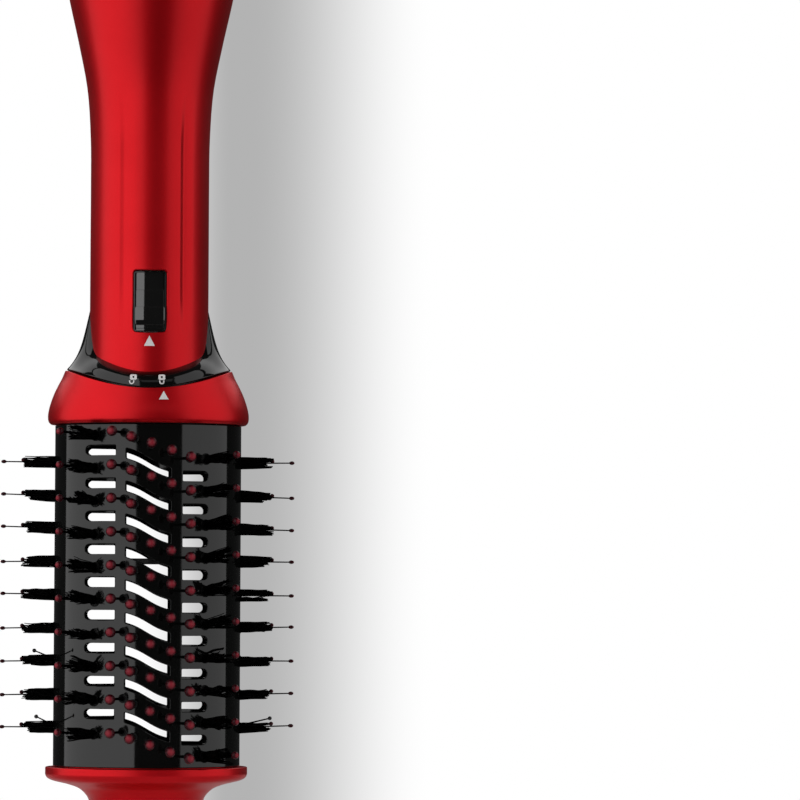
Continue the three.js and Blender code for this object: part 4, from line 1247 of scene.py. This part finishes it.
def make_front_shell():
    """The front half of the handle, with the switch's window."""
    border = rectangle(-QUARTER + SEAM, QUARTER - SEAM, TONGUE_SIDE_Z, SHELL_HIGH.z, SHELL_SPACING)
    low, high = front_v(WINDOW_LOW_Z), front_v(WINDOW_HIGH_Z)
    window = refine(round_box(-WINDOW_HALF, WINDOW_HALF, low, high, (1.1,) * 4), 1.5)
    build = Build()
    add_wall(build, shell_surface, border, [window], SHELL_WALL, SHELL_BEVEL, SHELL_SPACING)
    for seam in (-QUARTER, QUARTER):
        low, high = TONGUE_SIDE_Z + 2, SHELL_HIGH.z - 1
        lip = rectangle(seam - LIP_HALF, seam + LIP_HALF, low, high, SHELL_SPACING)
        add_wall(build, lip_surface, lip, [], LIP_THICK, 0.1, SHELL_SPACING)
    grid_u, grid_v = np.meshgrid(np.linspace(-12, 12, 40), np.linspace(TONGUE_SIDE_Z, 180, 40))
    patch = shell_surface(np.column_stack([grid_u.ravel(), grid_v.ravel()]), 0)
    tree = BVHTree.FromPolygons(patch.tolist(), grid_faces(40, 40, closed=False))
    add_decal(build, tree, triangle(-0.1, 160.0, 3.5, 3.4), [], 1)
    obj = build.object("front_shell_lacquer", [RED, INK])
    place(obj, "handle", "red_paint", "handle_front_shell")


def make_rear_shell():
    """The rear half of the handle, with its two screw holes and their bosses."""
    border = rectangle(QUARTER + SEAM, 3 * QUARTER - SEAM, TONGUE_SIDE_Z, SHELL_HIGH.z, SHELL_SPACING)
    stretch = GRIP_R / body_radius(SCREW_Z)
    holes = [screw_spot(x) + circle(0, 0, SCREW_HOLE_R, 32) * [stretch * 1.2, 1]
             for x in (-SCREW_X, SCREW_X)]
    build = Build()
    add_wall(build, shell_surface, border, holes, SHELL_WALL, SHELL_BEVEL, SHELL_SPACING)
    for x in (-SCREW_X, SCREW_X):
        top, low = 19, 1
        boss = [(SCREW_HOLE_R, top), (SCREW_HOLE_R, SCREW_SEAT_Y), (SHANK_HOLE_R, SCREW_SEAT_Y),
                (SHANK_HOLE_R, low), (SCREW_BOSS_R, low), (SCREW_BOSS_R, top), (SCREW_HOLE_R, top)]
        add_turned_along_y(build, (x, SCREW_Z), boss, within=body_radius(SCREW_Z) - 1.3)
    obj = build.object("rear_shell_lacquer", [RED])
    place(obj, "handle", "red_paint", "handle_rear_shell")


def add_turned_along_y(build, centre, profile, sides=40, within=None):
    """A body turned about a line along Y. Its profile is (radius, y) rows.

    within is the radius about the brush's axis that its points are kept inside.
    """
    angle = np.linspace(0, TAU, sides, endpoint=False)
    for run in split_sharp(np.asarray(profile, float)):
        r, y = run[:, :1], run[:, 1:]
        grid = np.stack([centre[0] + r * np.cos(angle), y * np.ones(sides),
                         centre[1] + r * np.sin(angle)], axis=2)
        if within:
            grid[:, :, 1] = np.minimum(grid[:, :, 1], np.sqrt(within ** 2 - grid[:, :, 0] ** 2))
        build.add(grid, grid_normals(grid), grid_faces(len(run), sides))


def make_screw(name, node, x):
    """A cross-head screw: a domed head with a cross recess, on a plain shank."""
    build = Build()
    rings, sides, head_r, head_y = 16, 64, SCREW_HEAD_R, SCREW_SEAT_Y + SCREW_HEAD_RISE
    radius = np.linspace(0.02, head_r - 0.15, rings)[:, None]
    angle = np.linspace(0, TAU, sides, endpoint=False)[None, :]
    across, up = radius * np.cos(angle), radius * np.sin(angle)
    arm = np.minimum(np.abs(across), np.abs(up))
    recess = 0.9 * np.clip((0.42 - arm) / 0.12, 0, 1) * np.clip((1.5 - radius) / 0.3, 0, 1)
    y = head_y - 0.35 * (radius / head_r) ** 2 - recess
    grid = np.stack([x + across, y, SCREW_Z + up], axis=2)
    build.add(grid, -grid_normals(grid), grid_faces(rings, sides, flip=True))
    rim_y = head_y - 0.33
    under_y = SCREW_SEAT_Y + 0.3
    side = [(0.3, -8), (SHANK_R, -7.4), (SHANK_R, under_y), (head_r, under_y),
            (head_r, rim_y - 0.15), (head_r - 0.15, rim_y)]
    add_turned_along_y(build, (x, SCREW_Z), side, sides)
    place(build.object(name, [STEEL]), "handle", "steel", node)


# ---- Release slider ----------------------------------------------------------------------------
BEZEL_R = 19.25
FLOOR_R, FLOOR_THICK = 18.2, 0.5
PLATE_R = 18.8
PLATE_HALF = 4.75
PLATE_LOW, PLATE_HIGH = SLIDER_LOW.z, SLIDER_HIGH.z
RIDGE_R = 20.0
BEZEL_INSET, RIM_ROUND = 0.2, 0.9
POCKET_HALF, POCKET_INSET = 4.95, 0.4
FLOOR_HALF, FLOOR_INSET = 5.1, 0.2
# The slot for the slider's foot. Its ends are measured up from the bezel's lower end.
WAY_HALF, WAY_LOW, WAY_HIGH = 1.9, 1.3, 12.2
SLIDER_SPACING = (0.8, 1.5)


def barrel_of(radius):
    """A surface function for a round wall about the brush's axis. u is measured at GRIP_R."""
    def surface(uv, depth):
        turn = uv[:, 0] / GRIP_R
        r = radius - depth
        return np.column_stack([r * np.sin(turn), -r * np.cos(turn), uv[:, 1]])
    return surface


def add_arc_bar(build, profile, half, mark=0):
    """A bar bent round the brush's axis. Its closed profile is (radius, z) rows."""
    profile = np.asarray(profile, float)
    middle = profile.mean(0)
    turns = np.concatenate([[-half, -half + 0.008], np.linspace(-half + 0.02, half - 0.02, 24),
                            [half - 0.008, half]])
    shrink = np.concatenate([[0.82, 0.95], np.ones(24), [0.95, 0.82]])
    rings = []
    for turn, share in zip(turns, shrink):
        r, z = (middle + (profile - middle) * share).T
        rings.append(np.column_stack([r * np.sin(turn), -r * np.cos(turn), z]))
    grid = np.array(rings)
    build.add(grid, -grid_normals(grid), grid_faces(len(grid), len(profile), flip=True), mark)
    face = list(range(len(profile)))
    for end, turn, way in ((0, -half, -1), (-1, half, 1)):
        out = np.array([math.cos(turn), math.sin(turn), 0]) * way
        build.add(grid[end], np.tile(out, (len(profile), 1)), [face if way > 0 else face[::-1]], mark)


def make_bezel():
    """The switch's frame, and the floor of its pocket with the slot for the slider's foot."""
    build = Build()
    low, high = BEZEL_LOW.z, BEZEL_HIGH.z

    def box(half, inset, corner):
        return refine(round_box(-half, half, low + inset, high - inset, (corner,) * 4), 1.2)

    frame_loop = box(WINDOW_HALF - BEZEL_INSET, 0, RIM_ROUND)
    pocket = box(POCKET_HALF, POCKET_INSET, 0.5)
    add_wall(build, barrel_of(BEZEL_R), frame_loop, [pocket], 1.5, 0.1, SLIDER_SPACING)
    way = refine(round_box(-WAY_HALF, WAY_HALF, low + WAY_LOW, low + WAY_HIGH, (0.4,) * 4), 1.2)
    floor = box(FLOOR_HALF, FLOOR_INSET, 0.4)
    add_wall(build, barrel_of(FLOOR_R), floor, [way], FLOOR_THICK, 0.08, SLIDER_SPACING, mark=1)
    place(build.object("slider_window", [BLACK, SWITCH]), "handle", "satin_black", "slider_bezel")


RIDGE_LOW, RIDGE_HIGH = 1.1, 7.1  # the thumb ridge's ends, up from the plate's lower end
FOOT_LOW, FOOT_HIGH, FOOT_R, FOOT_HALF = 1, 4.6, 17.4, 1.45


def make_slider():
    """The release slider: a bent plate with a thumb ridge, and a foot through the frame's floor."""
    build = Build()
    plate = refine(round_box(-PLATE_HALF, PLATE_HALF, PLATE_LOW, PLATE_HIGH, (0.4,) * 4), 1.2)
    add_wall(build, barrel_of(PLATE_R), plate, [], 0.5, 0.14, (0.7, 1.5))
    low, high = PLATE_LOW + RIDGE_LOW, PLATE_LOW + RIDGE_HIGH
    ridge = rounded([(PLATE_R - 0.2, low), (RIDGE_R - 0.6, low), (RIDGE_R, low + 1.6),
                     (RIDGE_R, high - 0.1), (PLATE_R, high), (PLATE_R - 0.2, high)],
                    [0, 0.1, 0.15, 0.1, 0.05, 0], 4)
    add_arc_bar(build, ridge, PLATE_HALF / GRIP_R)
    low, high = PLATE_LOW + FOOT_LOW, PLATE_LOW + FOOT_HIGH
    foot = [(PLATE_R - 0.3, low), (PLATE_R - 0.3, high), (FOOT_R, high), (FOOT_R, low)]
    add_arc_bar(build, foot, FOOT_HALF / GRIP_R)
    obj = build.object("release_switch", [SWITCH])
    place(obj, "release_slider", "gloss_black", "release_slider")


def make_spring():
    """The slider's return spring, as a fixed coil of steel wire."""
    build = Build()
    low, high = box_mm("release_spring")
    middle = (low + high) / 2
    turns = 7
    ts = np.linspace(0, 1, turns * 18 + 1)
    lift = np.clip((ts - 0.08) / 0.84, 0, 1)
    radius = (high.x - low.x) / 2 - 0.2
    path = np.column_stack([middle.x + radius * np.cos(turns * TAU * ts),
                            middle.y + radius * np.sin(turns * TAU * ts),
                            low.z + 0.2 + (high.z - low.z - 0.4) * lift])
    tube(build, path, [0.17] * len(path), 8)
    obj = build.object("return_spring", [STEEL])
    place(obj, "handle", "steel", "release_spring")
    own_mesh(obj)


# ---- Cord end ----------------------------------------------------------------------------------
GRILLE_LOW, GRILLE_HIGH = box_mm("inlet_grille")
DIAL_LOW, DIAL_HIGH = box_mm("control_dial")
CAP_LOW, CAP_HIGH = box_mm("end_cap")
SWIVEL_LOW, SWIVEL_HIGH = box_mm("cord_swivel")
VENT_COUNT = 12
VENT_HALF, VENT_LOW_Z, VENT_HIGH_Z = 1.5, 324.4, 333.6
LEDGE_BORE_R, LEDGE_Z = 19.9, 336.6
GRILLE_SPACING = (1.6, 1.6)
GRILLE_R = 29.5
GRILLE_PROFILE = spline([(30.2, GRILLE_LOW.z), (29.95, 326.0), (29.4, 330.0), (28.5, 334.2),
                         (27.2, GRILLE_HIGH.z)], 8)


def grille_surface(uv, depth):
    """u is the angle times GRILLE_R; v is the height."""
    turn = uv[:, 0] / GRILLE_R
    r = np.interp(uv[:, 1], GRILLE_PROFILE[:, 1], GRILLE_PROFILE[:, 0]) - depth
    return np.column_stack([r * np.sin(turn), -r * np.cos(turn), uv[:, 1]])


def make_grille():
    """The inlet band: twelve bays, each with an upright vent, and a ledge that carries the dial."""
    build = Build()
    bay = TAU * GRILLE_R / VENT_COUNT
    for number in range(VENT_COUNT):
        middle = number * bay
        edge = bay / 2 - 0.002
        border = rectangle(middle - edge, middle + edge, GRILLE_LOW.z, GRILLE_HIGH.z, GRILLE_SPACING)
        vent = round_box(-VENT_HALF, VENT_HALF, VENT_LOW_Z, VENT_HIGH_Z, (1.4,) * 4)
        vent = refine(vent, 1.0) + [middle, 0]
        add_wall(build, grille_surface, border, [vent], 1.9, 0.3, GRILLE_SPACING)
    high = GRILLE_HIGH.z
    ledge = [(LEDGE_BORE_R, LEDGE_Z), (26.4, LEDGE_Z), (27.0, LEDGE_Z + 0.8), (27.0, high),
             (LEDGE_BORE_R, high), (LEDGE_BORE_R, LEDGE_Z)]
    add_turned(build, ledge, [0, 0.2, 0.2, 0.3, 0.2, 0], 4, 144)
    place(build.object("inlet_band", [SATIN]), "handle", "satin_black", "inlet_grille")


# A groove begins where the cosine that runs round the dial passes GROOVE_START.
GROOVES, GROOVE_START, GROOVE_SCALE = 12, 0.62, 1.9
DIAL_BORE, DIAL_SIDES = 19.6, 480
DOTS, DOT_RING_R = 3, 22.2


def make_dial():
    """The control dial: a scalloped ring with three raised dots that grow with its setting."""
    build = Build()
    low, high = DIAL_LOW.z, DIAL_HIGH.z
    keys = [(DIAL_BORE, low), (25.8, low), (26.6, low + 0.9), (25.7, low + 5.5), (24.7, high - 1),
            (23.8, high), (DIAL_BORE, high), (DIAL_BORE, low)]
    profile = rounded(turned_profile(keys), [0, 0.4, 0.5, 1.2, 0.5, 0.5, 0.3, 0], 5)
    angle = np.linspace(0, TAU, DIAL_SIDES, endpoint=False)
    wave = np.cos(GROOVES * (angle - TAU / GROOVES / 2))
    scallop = np.clip(wave, GROOVE_START, 1) - GROOVE_START
    for run in split_sharp(profile, 50):
        grid = saddle_grid(run, DIAL_SIDES)
        radius = np.hypot(grid[:, :, 0], grid[:, :, 1])
        outer = np.clip((radius - 22.6) / 1.2, 0, 1)
        cut = 1 - outer * scallop[None, :] * GROOVE_SCALE / radius
        grid[:, :, :2] *= cut[:, :, None]
        build.add(grid, grid_normals(grid), grid_faces(len(run), DIAL_SIDES))
    for number in range(DOTS):
        turn = math.radians(-90 + 22 * (number - 1))
        centre = (DOT_RING_R * math.cos(turn), DOT_RING_R * math.sin(turn), high)
        ball(build, centre, 0.45 + 0.16 * number, 1, (1, 1, 0.35))
    place(build.object("scalloped_dial", [BLACK, INK]), "control_dial", "gloss_black", "control_dial")


def make_cap_and_swivel():
    """The end cap, and the swivel that the cord runs through."""
    build = Build()
    gland, low, high = 6.5, DIAL_HIGH.z + 0.3, CAP_HIGH.z
    keys = [(gland, high), (gland, 346.6), (17.3, 346.6), (17.3, CAP_LOW.z), (19.3, CAP_LOW.z),
            (19.3, low), (23.4, low), (22.7, 351.3), (18.5, high - 0.5), (13.0, high),
            (gland, high)]
    cuts = [0, 0.2, 0, 0.2, 0.3, 0, 0.4, 1.4, 2.0, 0.8, 0]
    add_turned(build, keys, cuts, 7, 144)
    place(build.object("rounded_end_cap", [BLACK]), "handle", "gloss_black", "end_cap")
    build = Build()
    bore, outer, top = 3.6, 6.2, SWIVEL_HIGH.z
    keys = [(bore, top - 0.2), (bore, SWIVEL_LOW.z), (9, SWIVEL_LOW.z), (9, 346.3), (outer, 346.3),
            (outer, 354.6), (outer - 0.5, 354.9), (outer - 0.5, 355.4), (outer, 355.7),
            (outer, top), (bore, top), (bore, top - 0.2)]
    cuts = [0, 0.3, 0.4, 0.3, 0, 0.1, 0.1, 0.1, 0.1, 1.2, 0.6, 0]
    add_turned(build, keys, cuts, 6, 96)
    place(build.object("cord_gland", [RUBBER]), "cord_swivel", "rubber", "cord_swivel")


# ---- Scene -------------------------------------------------------------------------------------
make_camera()
make_lights()
make_world()
make_floor()
dress_frame()
make_barrel()
make_face_bristles("front_bristles", "bristle_cage_front", 1)
make_face_bristles("back_bristles", "bristle_cage_back", -1)
make_side_bristles("left_bristles", "bristle_strip_left", -1)
make_side_bristles("right_bristles", "bristle_strip_right", 1)
make_tip()
make_dome()
make_flare()
make_seat()
make_nozzle()
make_front_shell()
make_rear_shell()
make_screw("left_case_screw", "case_screw_left", -SCREW_X)
make_screw("right_case_screw", "case_screw_right", SCREW_X)
make_bezel()
make_slider()
make_spring()
make_grille()
make_dial()
make_cap_and_swivel()

bpy.context.scene.view_settings.view_transform = "Standard"
